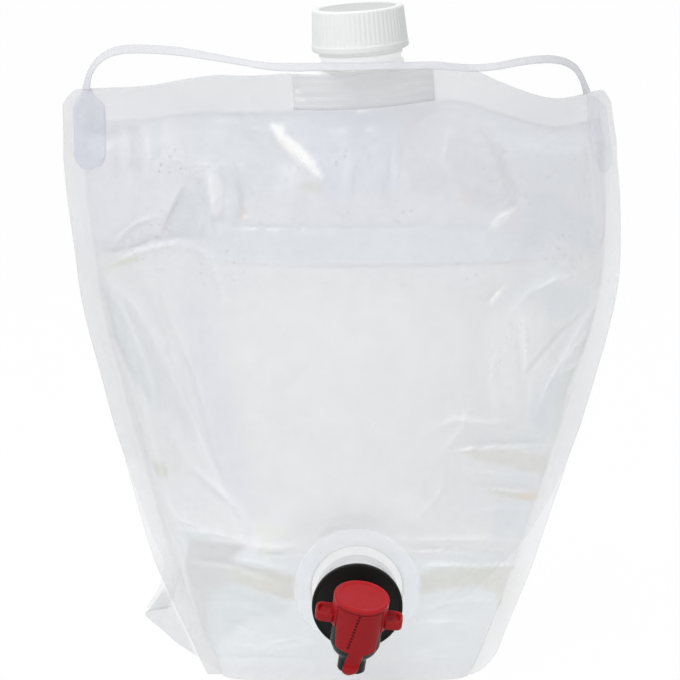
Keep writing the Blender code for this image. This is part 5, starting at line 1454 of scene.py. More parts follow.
    def pierced(self, surface: Surface) -> Surface:
        """The surface without the gland's hole, its rim drawn onto the circle."""
        matrix = self.shape.gland_matrix()
        inverse = np.linalg.inv(matrix)
        local = surface.points @ inverse[:3, :3].T + inverse[:3, 3]
        away = np.hypot(local[:, 0], local[:, 2])
        centre = away[surface.faces].mean(axis=1)
        kept, lost = surface.faces[centre > self.hole], surface.faces[centre <= self.hole]
        rim = np.intersect1d(kept, lost)
        local[rim] *= np.where([True, False, True], (self.hole / away[rim])[:, None], 1.0)
        used = np.unique(kept)
        number = np.full(len(local), -1)
        number[used] = np.arange(len(used))
        marks = {name: values[used] for name, values in surface.marks.items()}
        return Surface(local[used], number[kept], marks).placed(matrix)

    def thicken(self, piece: bpy.types.Object, front: bool) -> None:
        """Gives a panel its wall, inwards."""
        outwards = piece.data.polygons[len(piece.data.polygons) // 3].normal.y
        self.add_wall(piece, -1.0 if (outwards < 0) == front else 1.0)

    def add_wall(self, piece: bpy.types.Object, offset: float) -> None:
        """Gives a film its wall, on the side that the offset says."""
        wall = piece.modifiers.new("wall", "SOLIDIFY")
        wall.thickness = self.shape.film
        wall.offset = offset

    def slack(self, t: Array) -> tuple[Array, Array]:
        """How far the base's left and right sides swell out, t being -1 at the front and 1 at the back."""
        left = np.where(t > 0, 1 - np.abs(t) ** 10, 1 - np.abs(t) ** 1.3)
        return self.gore_slacks[0] * left, self.gore_slacks[1] * (1 - t**4)

    def gusset(self, material: bpy.types.Material) -> bpy.types.Object:
        """The bottom film: a floor between two pointed gores.

        The floor is x = b s + c(t) s^6, y = d(s) t. A gore is x = +-(w(h) + g (1 - t^2) + c(t) l(h)),
        y = split(h) t, z = h, where c is the slack and l = 1 - (h/H)^1.8.
        """
        shape = self.shape
        t = np.linspace(-1, 1, self.gusset_columns)
        s = np.sin(np.linspace(-1, 1, self.floor_rows) * math.pi / 2)
        base = shape.half_width(np.array(0.0)) - self.gusset_inset
        depth = shape.gusset_depth / 2 - self.gusset_inset + shape.bulge(s, 0 * s) * shape.base_bulge_share
        slack = self.slack(t)
        out = np.where(s[:, None] < 0, -slack[0], slack[1]) * np.abs(s[:, None]) ** 6
        floor = np.stack(np.broadcast_arrays(base * s[:, None] + out, depth[:, None] * t, 0.0), axis=-1)
        climb = np.linspace(self.gore_start, self.gore_share, self.gore_rows) * shape.gusset_height
        share = climb / shape.height
        low = (1 - np.clip(climb / shape.splay_height, 0, 1) ** self.gore_power)[:, None]
        length, height = self.gore_ripple
        along, swelling = self.gore_wave
        up, across = np.broadcast_arrays(climb[:, None], t[None, :] * along)
        swell = self.gore_swell + swelling * waves(up, across, length, self.seeds[3]) * height
        reach = shape.half_width(share)[:, None] - self.gore_inset + swell * (1 - t * t)
        y = (shape.split(share) - self.gusset_inset)[:, None] * t
        right, left = (
            np.stack(np.broadcast_arrays(side * (reach + slack[side > 0] * low), y, climb[:, None]), axis=-1)
            for side in (1, -1))
        points = shape.settled(np.concatenate([left[::-1], floor, right]))
        surface = Surface.grid(points)
        tone = np.broadcast_to(np.array(self.gusset_tone), (len(surface.points), 3))
        cleared, reached = self.gusset_clear
        fade = 1 - cleared * eased(surface.points[:, 2] / (reached * shape.gusset_height))
        hidden, shown = self.gusset_cover
        cover = self.cover * (hidden * fade + shown * self.lobe(surface.points))
        surface.marks = {"tone": self.film_colour(tone), "cover": cover, "wet": 0 * cover}
        piece = add_piece("gusset_film", surface, material, "bag", ("bottom_gusset",))
        self.add_wall(piece, 0.0)
        return piece


# The strap


# The band's middle line in the front view: across, down, the share of the way from the welded end's
# distance to the neck's, and how wide the band looks in millimetres
STRAP_PATH = (
    (86.5, 90, 0, 4.4), (87, 84, 0, 3.4), (90, 73, 0.02, 2.5), (97.5, 61.5, 0.05, 2.7),
    (109, 53.5, 0.10, 3.4), (125, 49.5, 0.20, 4.1), (150, 49.3, 0.34, 4.1), (180, 51.6, 0.52, 3.8),
    (210, 56.5, 0.70, 3.0), (240, 61.8, 0.84, 2.4), (268, 66.2, 0.95, 2.9), (290, 67.2, 1, 3.5),
    (330, 66.8, 1, 3.4), (370, 66.5, 1, 3.3), (410, 65.8, 1, 3.4), (436, 65.5, 1, 3.4),
    (456, 67.2, 0.98, 3.0), (476, 68.0, 0.92, 2.8), (498, 66.0, 0.84, 2.8), (520, 61.8, 0.70, 3.0),
    (538, 59.6, 0.56, 3.2), (553, 59.4, 0.42, 3.2), (566, 62.4, 0.28, 3.0), (575.5, 68.5, 0.16, 2.8),
    (581.5, 78.0, 0.06, 2.7), (585, 87.0, 0.01, 3.2), (587, 93.0, 0, 4.2),
)
FORWARDS = np.array([0.0, -1.0, 0.0])


@dataclass
class CarryStrap:
    """The strip that carries the bag: two rounded ends on the front film and the free band."""

    bag: FilmBag
    end_width: float = 0.0160
    end_length: float = 0.0410
    inset: float = 0.0055
    taper: float = 0.010
    width: float = 0.0046
    thickness: float = 0.0011
    weld_gap: float = 0.0003
    neck_clearance: float = 0.0035
    collar_radius: float = 0.0216
    collar_height: float = 0.0035
    head_shifts: Pair = (-0.0012, -0.0062)
    head_gap: float = 0.0013
    neck_lift: float = 0.0004
    band_rows: int = 520
    band_sides: int = 28
    bend_reach: Pair = (-0.001, 0.007)
    # The right end is made much clearer than the left, so that it looks lighter
    clear_ends: Pair = (0.2, 2.3)
    thin_band: float = -1.3
    thin_edge: float = -1.2

    def centre(self, side: int) -> float:
        """How far across the middle of an end lies."""
        return side * (self.bag.shape.top_width / 2 - self.inset - self.end_width / 2)

    def head_height(self, side: int) -> float:
        """The height of the top of an end."""
        shape = self.bag.shape
        return shape.height - (shape.left_drop if side < 0 else shape.right_drop)

    def head(self, side: int) -> Array:
        """The middle of the top of an end, settled."""
        shape, z = self.bag.shape, self.head_height(side)
        x = self.centre(side)
        u = np.array(x) / shape.half_width(np.array(z / shape.height))
        y = -float(shape.depth(np.clip(u, -1, 1), np.array(z / shape.height), True)) - self.head_gap
        return shape.settled(np.array([x, y, z]))

    def end(self, side: int) -> Surface:
        """One end: half width sqrt(r^2 - (r - h)^2) at its foot, r above, drawn in to the band on top."""
        top, radius = self.head_height(side), self.end_width / 2
        foot, straight = top - self.end_length, top - self.taper
        round_part = foot + radius * (1 - np.cos(np.linspace(0.06, 1, 16) * math.pi / 2))
        z = np.concatenate(
            [round_part, np.linspace(foot + radius, straight, 14)[1:], np.linspace(straight, top, 14)[1:]])
        half = np.sqrt(np.clip(radius**2 - np.clip(foot + radius - z, 0, radius) ** 2, TINY, None))
        half = half + (self.width / 2 - radius) * eased((z - straight) / self.taper)
        t = np.linspace(-1, 1, 25)
        shift = self.head_shifts[0 if side < 0 else 1] * eased((z - straight) / self.taper)
        x = self.centre(side) + shift[:, None] + half[:, None] * t
        z = z[:, None] + 0 * t
        points, normal = self.bag.surface(x, self.raised(x, z), True)
        rounded = self.thickness * np.sqrt(np.clip(1 - np.abs(t) ** 8, 0.10, 1))[None, :, None]
        outer = points + normal * (self.weld_gap + rounded)
        return Surface.shell(outer, points + normal * self.weld_gap)

    def raised(self, x: Array, z: Array) -> Array:
        """The heights on the straight bag that fall to these: z' = z + drop(x) e(z'), solved in steps."""
        shape, high = self.bag.shape, z
        for _ in range(8):
            fallen = shape.top_drop(x) * ramp(high / shape.height, *shape.fall_from)
            high = np.minimum(z + fallen, shape.height)
        return high

    def route(self) -> tuple[Array, Array]:
        """The band's middle line, through places of the front view, and how wide it looks at each."""
        left, right = self.head(-1), self.head(1)
        shape = self.bag.shape
        height = shape.height + self.neck_lift + self.collar_height
        neck = (shape.spout_matrix() @ np.array([0, 0, height, 1]))[:3]
        front = neck[1] - self.collar_radius - self.neck_clearance - self.width / 2
        px, py, forwards, seen = np.array(STRAP_PATH).T
        head = np.where(px < self.bag.view.side / 2, left[1], right[1])
        return self.bag.view.at(px, py, head + (front - head) * forwards), seen

    def band(self) -> Surface:
        """A rounded strip along the route, turned to look as wide as seen.

        Returns:
            A superellipse of the width and thickness, carried along the cubic 0.5 (2b + (c - a) t
            + (2a - 5b + 4c - d) t^2 + (3b - a - 3c + d) t^3) through each four neighbouring places.
        """
        rows, seen = self.route()
        rows = np.concatenate([rows, seen[:, None]], axis=1)
        padded = np.concatenate([[2 * rows[0] - rows[1]], rows, [2 * rows[-1] - rows[-2]]])
        a, b, c, d = (padded[k : len(padded) - 3 + k, None, :] for k in range(4))
        t = np.linspace(0, 1, 24, endpoint=False)[None, :, None]
        bent, twisted = 2 * a - 5 * b + 4 * c - d, 3 * b - a - 3 * c + d
        line = 0.5 * (2 * b + (c - a) * t + bent * t**2 + twisted * t**3)
        line = np.concatenate([line.reshape(-1, 4), rows[-1:]])
        run = np.concatenate([[0], np.cumsum(np.linalg.norm(np.diff(line[:, :3], axis=0), axis=1))])
        places = np.linspace(0, run[-1], self.band_rows)
        seen = np.interp(places, run, line[:, 3])
        line = np.stack([np.interp(places, run, line[:, k]) for k in range(3)], axis=1)
        ahead = np.gradient(line, axis=0)
        ahead /= np.linalg.norm(ahead, axis=1, keepdims=True)
        flat = FORWARDS - ahead * (ahead @ FORWARDS)[:, None]
        flat /= np.linalg.norm(flat, axis=1, keepdims=True)
        wide = np.cross(flat, ahead)
        turn = np.arccos(np.clip(seen / MILLI / self.width, 0.25, 1))[:, None]
        flat, wide = flat * np.cos(turn) + wide * np.sin(turn), wide * np.cos(turn) - flat * np.sin(turn)
        angle = self.band_angles()
        across = np.sign(np.cos(angle)) * np.abs(np.cos(angle)) ** 0.35 * self.width / 2
        through = np.sign(np.sin(angle)) * np.abs(np.sin(angle)) ** 0.7 * self.thickness / 2
        rings = line[:, None] + wide[:, None] * across[:, None]
        return Surface.tube(rings + flat[:, None] * through[:, None])

    def band_angles(self) -> Array:
        """The angles round the band."""
        return np.linspace(0, 2 * math.pi, self.band_sides, endpoint=False)

    def build(self, material: bpy.types.Material) -> None:
        """Makes the strap as one piece."""
        left, right, band = self.end(-1), self.end(1), self.band()
        surface = left.joined(right, band)
        edge = np.tile(np.abs(np.cos(self.band_angles())) ** 6, len(band.points) // self.band_sides)
        ends = np.repeat(self.clear_ends, [len(left.points), len(right.points)])
        surface.marks = {"thin": np.concatenate([ends, self.thin_band + self.thin_edge * edge])}
        nodes = ("strap_left_end", "strap_right_end", "strap_band")
        piece = add_piece("carry_strap", surface, material, None, nodes)
        start = (self.head(-1) + self.head(1)) / 2
        line = self.head(1) - self.head(-1)
        up = np.array([0.0, 0.0, 1.0]) - line * line[2] / (line @ line)
        up /= np.linalg.norm(up)
        below, above = (tuple(start + up * reach) for reach in self.bend_reach)
        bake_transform(piece)


# The spout and its cap


@dataclass
class Spout:
    """The welded boat, the threaded neck and the screw cap, in the spout's frame."""

    shape: BagShape
    boat_top: float = 0.3059
    rib: float = 0.0002
    boat_inset: float = 0.0004
    ribs: int = 4
    bore: float = 0.013
    collar_radius: float = 0.0216
    collar_height: float = 0.0035
    neck_radius: float = 0.0203
    neck_bore: float = 0.0181
    neck_top: float = 0.3335
    bead_radius: float = 0.0213
    bead_lift: float = 0.0050
    bead_height: float = 0.0020
    thread_pitch: float = 0.004
    thread_turns: float = 2.2
    thread_depth: float = 0.0011
    cap_radius: float = 0.0245
    cap_top_radius: float = 0.0231
    cap_foot: float = 0.3158
    cap_height: float = 0.0212
    cap_wall: float = 0.0022
    cap_roof: float = 0.0018
    cap_edge: float = 0.0015
    cap_band: float = 0.0030
    cap_step: float = 0.0005
    cap_ribs: int = 60
    cap_rib: float = 0.00024
    cap_dish: float = 0.0007
    rib_soft: float = 0.00025
    socket_radius: float = 0.0140
    socket_depth: float = 0.002
    neck_step: float = 0.0003
    neck_soft: float = 0.0005
    bead_slope: float = 0.0004
    thread_sink: float = 0.0002
    thread_margin: float = 0.0022
    thread_half: float = 0.0008
    cap_rim: float = 0.0032
    cap_rim_slope: float = 0.0008
    cap_side_start: float = 0.002
    cap_rib_edge: float = 0.0009
    cap_rib_start: float = 0.0008
    cap_rib_end: float = 0.0014
    cap_rib_margin: float = 0.0002
    cap_outer_share: float = 0.62
    boat_shade: float = 0.20
    dish_shade: float = 0.72

    def boat(self) -> Surface:
        """The boat: y = +-(tip/2 + (T - tip)/2 (1 - (2x/L)^2) - inset), the inset stepping at the ribs."""
        shape = self.shape
        step = (self.boat_top - shape.boat_bottom) / (2 * self.ribs + 1)
        k = np.arange(2 * self.ribs + 1)
        inset = np.where(k % 2 == 0, 0.0, self.rib) + self.boat_inset
        low, high = shape.boat_bottom + step * k, shape.boat_bottom + step * (k + 1)
        corners = np.stack([np.repeat(inset, 2), np.stack([low, high], axis=1).ravel()], axis=1)
        profile = softened(corners, self.rib_soft, 4)
        x = shape.boat_length / 2 * np.sin(np.linspace(-1, 1, 73) * math.pi / 2)
        half = np.maximum(shape.boat_half(x)[None, :] - profile[:, :1], shape.boat_tip / 2)
        z = profile[:, 1:] + 0 * half
        front = np.stack([x + 0 * half, -half, z], axis=2)
        back = np.stack([x + 0 * half, half, z], axis=2)[:, ::-1]
        return Surface.tube(np.concatenate([front, back], axis=1)).placed(shape.spout_matrix())

    def neck(self) -> Surface:
        """The collar, the neck with its bead, and the bore, as one turned wall."""
        collar = self.boat_top + self.collar_height
        bead = collar + self.bead_lift
        foot = self.boat_top - self.socket_depth
        corners = [
            (self.bore, foot), (self.socket_radius, foot),
            (self.socket_radius, self.boat_top + self.neck_step),
            (self.collar_radius, self.boat_top + self.collar_height / 2), (self.collar_radius, collar),
            (self.neck_radius, collar + self.neck_step), (self.neck_radius, bead - self.bead_height),
            (self.bead_radius, bead - self.bead_height + self.bead_slope),
            (self.bead_radius, bead - self.bead_slope), (self.neck_radius, bead),
            (self.neck_radius, self.neck_top), (self.neck_bore, self.neck_top),
            (self.neck_bore, collar), (self.bore, self.boat_top),
        ]
        profile = softened(corners, self.neck_soft, 5, wrap=True)
        return Surface.turned(profile, self.shape.spout_matrix(), Axis.UP)

    def thread(self) -> Surface:
        """The thread: radius R - s + d sin(w), height z0 + pitch a / 2 pi + b cos(w), fading at its ends."""
        angle = np.linspace(0, 2 * math.pi * self.thread_turns, 260)[:, None]
        fade = np.clip(np.minimum(angle, angle[-1] - angle) / 0.6, 0.02, 1)
        w = np.linspace(0, 2 * math.pi, 12, endpoint=False)[None, :]
        radius = self.neck_radius - self.thread_sink + self.thread_depth * fade * np.clip(np.sin(w), -0.1, 1)
        start = self.neck_top - self.thread_margin - self.thread_pitch * self.thread_turns
        z = start + self.thread_pitch * angle / (2 * math.pi) + self.thread_half * fade * np.cos(w)
        points = np.stack([radius * np.sin(angle), -radius * np.cos(angle), z], axis=2)
        return Surface.tube(points).placed(self.shape.spout_matrix())

    def cap(self) -> Surface:
        """The cap: a cup turned from its profile, its side pressed in between the ribs.

        The radius is r(h) - rib w(h) (0.5 - 0.5 cos(n a))^2, where w is 1 on the ribbed height.
        """
        foot, top = self.cap_foot, self.cap_foot + self.cap_height
        band, roof = foot + self.cap_band, self.cap_foot + self.cap_height - self.cap_roof
        rim = self.cap_top_radius - self.cap_rim
        corners = [
            (self.cap_radius - self.cap_step, foot), (self.cap_radius, foot + self.cap_step),
            (self.cap_radius, band), (self.cap_radius - self.cap_step / 2, band + self.cap_step),
            (self.cap_top_radius, top),
            (rim, top), (rim - self.cap_rim_slope, top - self.cap_dish), (0.0, top - self.cap_dish),
            (0.0, roof), (self.cap_top_radius - self.cap_wall, roof),
            (self.cap_radius - self.cap_wall, foot),
        ]
        soft = softened(corners, self.cap_edge, 8, wrap=True)
        side = np.linspace(0, 1, 12)[1:-1, None]
        split = int(np.argmax(soft[:, 1] > band + self.cap_step + self.cap_side_start))
        more = soft[split - 1] * (1 - side) + soft[split] * side
        soft = np.concatenate([soft[:split], more, soft[split:]])
        soft[:, 0] = np.maximum(soft[:, 0], 0)
        a = np.linspace(0, 2 * math.pi, self.cap_ribs * 12, endpoint=False)[None, :]
        r, h = soft[:, :1], soft[:, 1:2]
        outer_rows = np.arange(len(soft))[:, None] < len(soft) * self.cap_outer_share
        outside = (r > self.cap_top_radius - self.cap_rib_edge) & outer_rows
        lower = eased((h - band - self.cap_step) / self.cap_rib_start)
        pressed = lower * eased((top - self.cap_rib_margin - h) / self.cap_rib_end) * outside
        radius = r - self.cap_rib * pressed * (0.5 - 0.5 * np.cos(a * self.cap_ribs)) ** 2
        points = np.stack([radius * np.sin(a), radius * np.cos(a), h + 0 * a], axis=2)
        surface = Surface.grid(points, wrap_rows=True, wrap_columns=True).placed(self.shape.spout_matrix())
        dished = eased((rim - r) / self.cap_rim_slope) * (h > top - self.cap_roof / 2)
        surface.marks = {"shade": (self.dish_shade * dished + 0 * a).ravel()}
        return surface

    def build(self, fitment: bpy.types.Material, white: bpy.types.Material) -> None:
        """Makes the fitment on the bag and the cap that turns on it."""
        boat = self.boat()
        parts = boat.joined(self.neck(), self.thread())
        shade = np.zeros(len(parts.points))
        shade[: len(boat.points)] = self.boat_shade
        parts.marks = {"shade": shade}
        add_piece("spout", parts, fitment, "bag", ("spout_fitment",))
        add_piece("ribbed_cap", self.cap(), white, "cap", ("screw_cap",))


# The tap


@dataclass
class Gland:
    """The milky ring welded in the front film, in a frame on the film with its height forwards."""

    shape: BagShape
    disc_radius: float = 0.0318
    disc: float = 0.0014
    step_radius: float = 0.0236
    step: float = 0.0007
    neck_radius: float = 0.0176
    bore: float = 0.0147
    length: float = 0.0215
    ring_radius: float = 0.0206
    ring: float = 0.0018
    ring_places: tuple[float, ...] = (0.22, 0.52)
    edge: float = 0.0005
    film_gap: float = 0.0003
    disc_bevel: float = 0.0004
    hole_radius: float = 0.0228
    step_bevel: float = 0.0003
    step_foot: float = 0.0001
    shade_depth: float = 0.0002
    neck_shade: float = 0.86

    def build(self, milky: bpy.types.Material) -> None:
        """Makes the disc, the weld step, the neck and its two grip rings as one turned wall."""
        back = -self.shape.film - self.film_gap
        corners: list[Pair] = [
            (self.bore, back - self.disc), (self.disc_radius, back - self.disc),
            (self.disc_radius - self.disc_bevel, back), (self.hole_radius, back), (self.hole_radius, 0.0),
            (self.step_radius, self.step_foot), (self.step_radius - self.step_bevel, self.step),
            (self.neck_radius, self.step + self.edge)]
        for place in self.ring_places:
            at = self.length * place
            corners += [(self.neck_radius, at), (self.ring_radius, at + self.edge),
                        (self.ring_radius, at + self.ring - self.edge), (self.neck_radius, at + self.ring)]
        corners += [(self.neck_radius, self.length), (self.bore, self.length)]
        profile = softened(corners, self.step_bevel, 4, wrap=True)
        surface = Surface.turned(profile, self.shape.gland_matrix(), Axis.FORWARDS)
        r, h = profile.T
        front = (r < self.step_radius + self.step_bevel) & (h > -self.shade_depth)
        shade = front * np.where(r > self.ring_radius + self.step_bevel, 1.0, self.neck_shade)
        surface.marks = {"shade": np.repeat(shade, len(surface.points) // len(profile))}
        add_piece("gland", surface, milky, "bag", ("tap_gland",))


@dataclass
class TapBody:
    """The black moulding: flange and spigot, duct, barrel and outlet, in the tap's frame."""

    matrix: Array
    from_flange: float = 0.0232
    flange: float = 0.0025
    flange_radius: float = 0.0227
    spigot_radius: float = 0.0142
    spigot_bore: float = 0.0119
    spigot_length: float = 0.0180
    barrel_radius: float = 0.0123
    barrel_bore: float = 0.0101
    barrel_top: float = 0.0093
    barrel_foot: float = 0.0093
    seat: float = 0.0115
    outlet_radius: float = 0.0069
    outlet_bore: float = 0.0043
    outlet_top: float = 0.0165
    outlet_end: float = 0.0236
    duct_width: float = 0.0122
    duct_top: float = 0.0016
    duct_bottom: float = 0.0122
    duct_start: float = 0.004
    duct_sink: float = 0.0012
    duct_power: float = 0.42
    flare: float = 0.0016
    flare_run: float = 0.004
    face_dish: float = 0.0003
    face_rim: float = 0.0013
    spigot_rib: float = 0.0002
    rib_length: float = 0.0006
    soft: float = 0.0006
    barrel_soft: float = 0.0011

    def flange_and_spigot(self) -> Surface:
        """A disc with a low raised rim and the bored spigot behind it."""
        face, back = -self.from_flange, -self.from_flange - self.flange
        end = back - self.spigot_length
        rim, dish = self.flange_radius - self.face_rim, face - self.face_dish
        corners: list[Pair] = [
            (0.0, dish), (rim - self.face_dish, dish), (rim, face), (self.flange_radius, face),
            (self.flange_radius, back), (self.spigot_radius, back)]
        for share in (0.6, 0.3):
            at = end + self.spigot_length * share
            corners += [
                (self.spigot_radius, at + 2 * self.rib_length),
                (self.spigot_radius + self.spigot_rib, at + self.rib_length), (self.spigot_radius, at)]
        corners += [
            (self.spigot_radius, end), (self.spigot_bore, end), (self.spigot_bore, back + self.rib_length),
            (0.0, back + self.rib_length)]
        return Surface.turned(softened(corners, self.soft, 6), self.matrix, Axis.FORWARDS, wrap=False)

    def barrel(self) -> Surface:
        """The barrel's wall, drawn in to the outlet below."""
        waist = ((self.outlet_radius + self.barrel_radius) / 2 + self.soft,
                 -(self.outlet_top + self.barrel_foot) / 2 - self.soft)
        corners = [
            (self.outlet_bore, -self.outlet_end), (self.outlet_radius, -self.outlet_end),
            (self.outlet_radius, -self.outlet_top), waist, (self.barrel_radius, -self.barrel_foot),
            (self.barrel_radius, self.barrel_top), (self.barrel_bore, self.barrel_top),
            (self.barrel_bore, -self.seat), (self.outlet_bore, -self.seat)]
        return Surface.turned(softened(corners, self.barrel_soft, 7, wrap=True), self.matrix, Axis.UP)

    def duct(self) -> Surface:
        """The duct: a squared tube x = w c, z = z0 + h s along y, flared by f e(d)^2 at the flange."""
        y = np.linspace(self.duct_start, self.from_flange + self.duct_sink, 30)[:, None]
        flare = self.flare * eased((y - self.from_flange + self.flare_run) / self.flare_run) ** 2
        angle = np.linspace(0, 2 * math.pi, 64, endpoint=False)[None, :]
        c = np.sign(np.cos(angle)) * np.abs(np.cos(angle)) ** self.duct_power
        s = np.sign(np.sin(angle)) * np.abs(np.sin(angle)) ** self.duct_power
        middle = -(self.duct_top + self.duct_bottom) / 2
        x = (self.duct_width / 2 + flare) * c
        z = middle + ((self.duct_bottom - self.duct_top) / 2 + flare) * s
        return Surface.tube(np.stack([x, y + 0 * angle, z], axis=2)).placed(self.matrix)

    def build(self, black: bpy.types.Material) -> None:
        """Makes the body as one piece."""
        surface = self.flange_and_spigot().joined(self.barrel(), self.duct())
        add_piece("tap_moulding", surface, black, "bag", ("tap_body",))


@dataclass
class Diaphragm:
    """The rubber dome that the stem lifts, in the tap's frame."""

    matrix: Array
    rim: float = 0.0098
    rim_top: float = -0.0018
    rim_height: float = 0.0011
    bore: float = 0.0023
    hub: float = 0.0035
    dip: float = 0.0036
    wall: float = 0.0008
    flattened: float = 0.42

    def build(self, rubber: bpy.types.Material) -> None:
        """Makes the dome, h = top - dip e(s) from its rim to its hub."""
        s = np.linspace(0, 1, 24)
        inner, foot = self.rim - self.rim_height, self.rim_top - self.dip - self.wall
        r = inner - self.wall + (self.hub - inner + self.wall) * s
        upper = np.stack([r, self.rim_top - (self.dip - self.wall) * eased(s)], axis=1)
        low = self.rim_top - self.rim_height
        lower = np.stack([inner + (self.hub - inner) * s, low + (foot - low) * eased(s)], axis=1)
        ends = np.array([[self.bore, foot], [self.bore, self.rim_top - self.dip + self.wall]])
        rim = np.array([[self.rim, self.rim_top], [self.rim, self.rim_top - self.rim_height]])
        profile = np.concatenate([rim, lower, ends, upper[::-1]])[::-1]
        surface = Surface.turned(profile, self.matrix, Axis.UP)
        piece = add_piece("diaphragm", surface, rubber, "bag", ("valve_diaphragm",))
        anchor = self.matrix @ np.array([0, 0, self.rim_top, 1])
        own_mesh(piece)


@dataclass
class TapHandle:
    """The red turning cap with its two dished wings, in the tap's frame."""

    matrix: Array
    radius: float = 0.0138
    inner: float = 0.0126
    lip: float = 0.0130
    top: float = 0.0157
    ceiling: float = 0.0139
    slope: float = math.tan(math.radians(11))
    edge: float = 0.0013
    dish: float = 0.0005
    skirt: float = 0.0010
    groove_top: float = 0.0135
    lip_foot: float = 0.0098
    opening: float = math.radians(56)
    wing_reach: float = 0.0216
    wing_depth: float = 0.0112
    wing_front: float = 0.0031
    wing_rise: float = 0.0022
    wing_plate: float = 0.0024
    wing_rim: float = 0.0016
    wing_wall: float = 0.0014
    side_shade: float = 0.30
    wing_shade: float = 0.24
    soft: float = 0.0007
    lip_gap: float = 0.0003
    cut: float = math.radians(0.25)
    cut_drop: float = 0.02
    cut_margin: float = 0.002
    dish_edges: Pair = (2.1, 1.5)
    gate_radius: float = 0.0011
    gate_depth: float = 0.00022
    gate_wall: float = 0.0006
    crown: float = 0.0014
    crown_run: float = 0.0008
    wing_soft: float = 0.0006
    wing_slope: float = 0.0005
    wing_hollow: float = 0.0003
    wing_floor: Pair = (0.0004, 0.0002)
    wing_corner: float = 0.62

    def shell(self) -> Surface:
        """The cap: a profile turned about the barrel, cut higher at the front, sheared by z += slope y w."""
        dish_edge, rim = (self.radius - share * self.edge for share in self.dish_edges)
        crown = [(0.0, self.top - self.dish), (dish_edge, self.top - self.dish), (rim, self.top),
                 (self.radius, self.top)]
        roof = [(self.inner, self.ceiling), (0.0, self.ceiling)]
        back = [(self.radius, self.skirt), (self.lip + self.lip_gap, self.skirt), (self.lip, self.skirt),
                (self.inner, self.skirt)]
        front = [(self.radius, self.groove_top), (self.lip, self.groove_top), (self.lip, self.lip_foot),
                 (self.inner, self.lip_foot)]
        back_line, front_line = (softened(crown + side + roof, self.soft, 7) for side in (back, front))
        near = self.cut
        a = np.concatenate([np.linspace(-math.pi + self.opening + near, math.pi - self.opening - near, 150),
                            np.linspace(math.pi - self.opening, math.pi + self.opening, 80)])[None, :]
        in_front = np.abs(a - math.pi) < self.opening + near / 2
        r = np.where(in_front, front_line[:, :1], back_line[:, :1])
        h = np.where(in_front, front_line[:, 1:], back_line[:, 1:])
        low = np.where(in_front, self.lip_foot - self.cut_drop, self.skirt)
        weight = np.clip((h - low) / (self.groove_top - self.cut_margin - low), 0, 1)
        above = h > self.ceiling + self.gate_wall
        dimple = self.gate_depth * np.exp(-((r / self.gate_radius) ** 2)) * above
        z = h + self.slope * r * np.cos(a) * weight - dimple
        points = np.stack([r * np.sin(a), r * np.cos(a), z], axis=2)
        surface = Surface.grid(points, wrap_columns=True).placed(self.matrix)
        side = 1 - eased((h - self.top + self.crown) / self.crown_run)
        surface.marks = {"shade": (self.side_shade * side + 0 * a).ravel()}
        return surface

    def wing(self, side: int) -> Surface:
        """A wing: a rounded tongue, x = R - i - c + c cos t, y = +-(D - i - c + c sin t) at each inset i."""
        half = self.wing_depth / 2
        plate = self.wing_plate / 2
        corners = [
            (half * 0.9, -plate), (0.0, -plate), (0.0, plate + self.wing_rim),
            (self.wing_wall, plate + self.wing_rim), (self.wing_wall + self.wing_slope, plate),
            (half * 0.9, plate - self.wing_hollow)]
        profile = softened(corners, self.wing_soft, 6)
        inset, h = profile[:, :1], profile[:, 1:]
        t = np.linspace(-math.pi / 2, math.pi / 2, 36)[None, :]
        round_half = half - inset
        corner = self.wing_corner * round_half
        straight = round_half - corner
        x = self.wing_reach - inset - corner + corner * np.cos(t)
        y = np.sign(t) * straight + corner * np.sin(t)
        root = self.inner + self.lip_gap
        bend = np.linspace(0, 1, 9)[None, :-1]
        x_low, x_high = root + (x[:, :1] - root) * bend, x[:, -1:] + (root - x[:, -1:]) * (bend + 1 / 8)
        x = np.concatenate([x_low, x, x_high], axis=1)
        y = np.concatenate([-round_half + 0 * bend, y, round_half + 0 * bend], axis=1)
        level = self.wing_front + self.wing_rise * (y / self.wing_depth + 0.5)
        below, above = self.wing_floor
        hollow = -self.wing_slope * eased((h - plate + below) / self.wing_soft) * (h < plate + above)
        points = np.stack([side * x, y, level + h + hollow * np.cos(y / half * math.pi / 2)], axis=2)
        return Surface.tube(points).placed(self.matrix)

    def build(self, red: bpy.types.Material) -> None:
        """Makes the cap and both wings as one piece."""
        shell, left, right = self.shell(), self.wing(-1), self.wing(1)
        surface = shell.joined(left, right)
        wings = np.full(len(left.points) + len(right.points), self.wing_shade)
        surface.marks = {"shade": np.concatenate([shell.marks["shade"], wings])}
        add_piece("winged_handle", surface, red, "handle", ("tap_handle",))


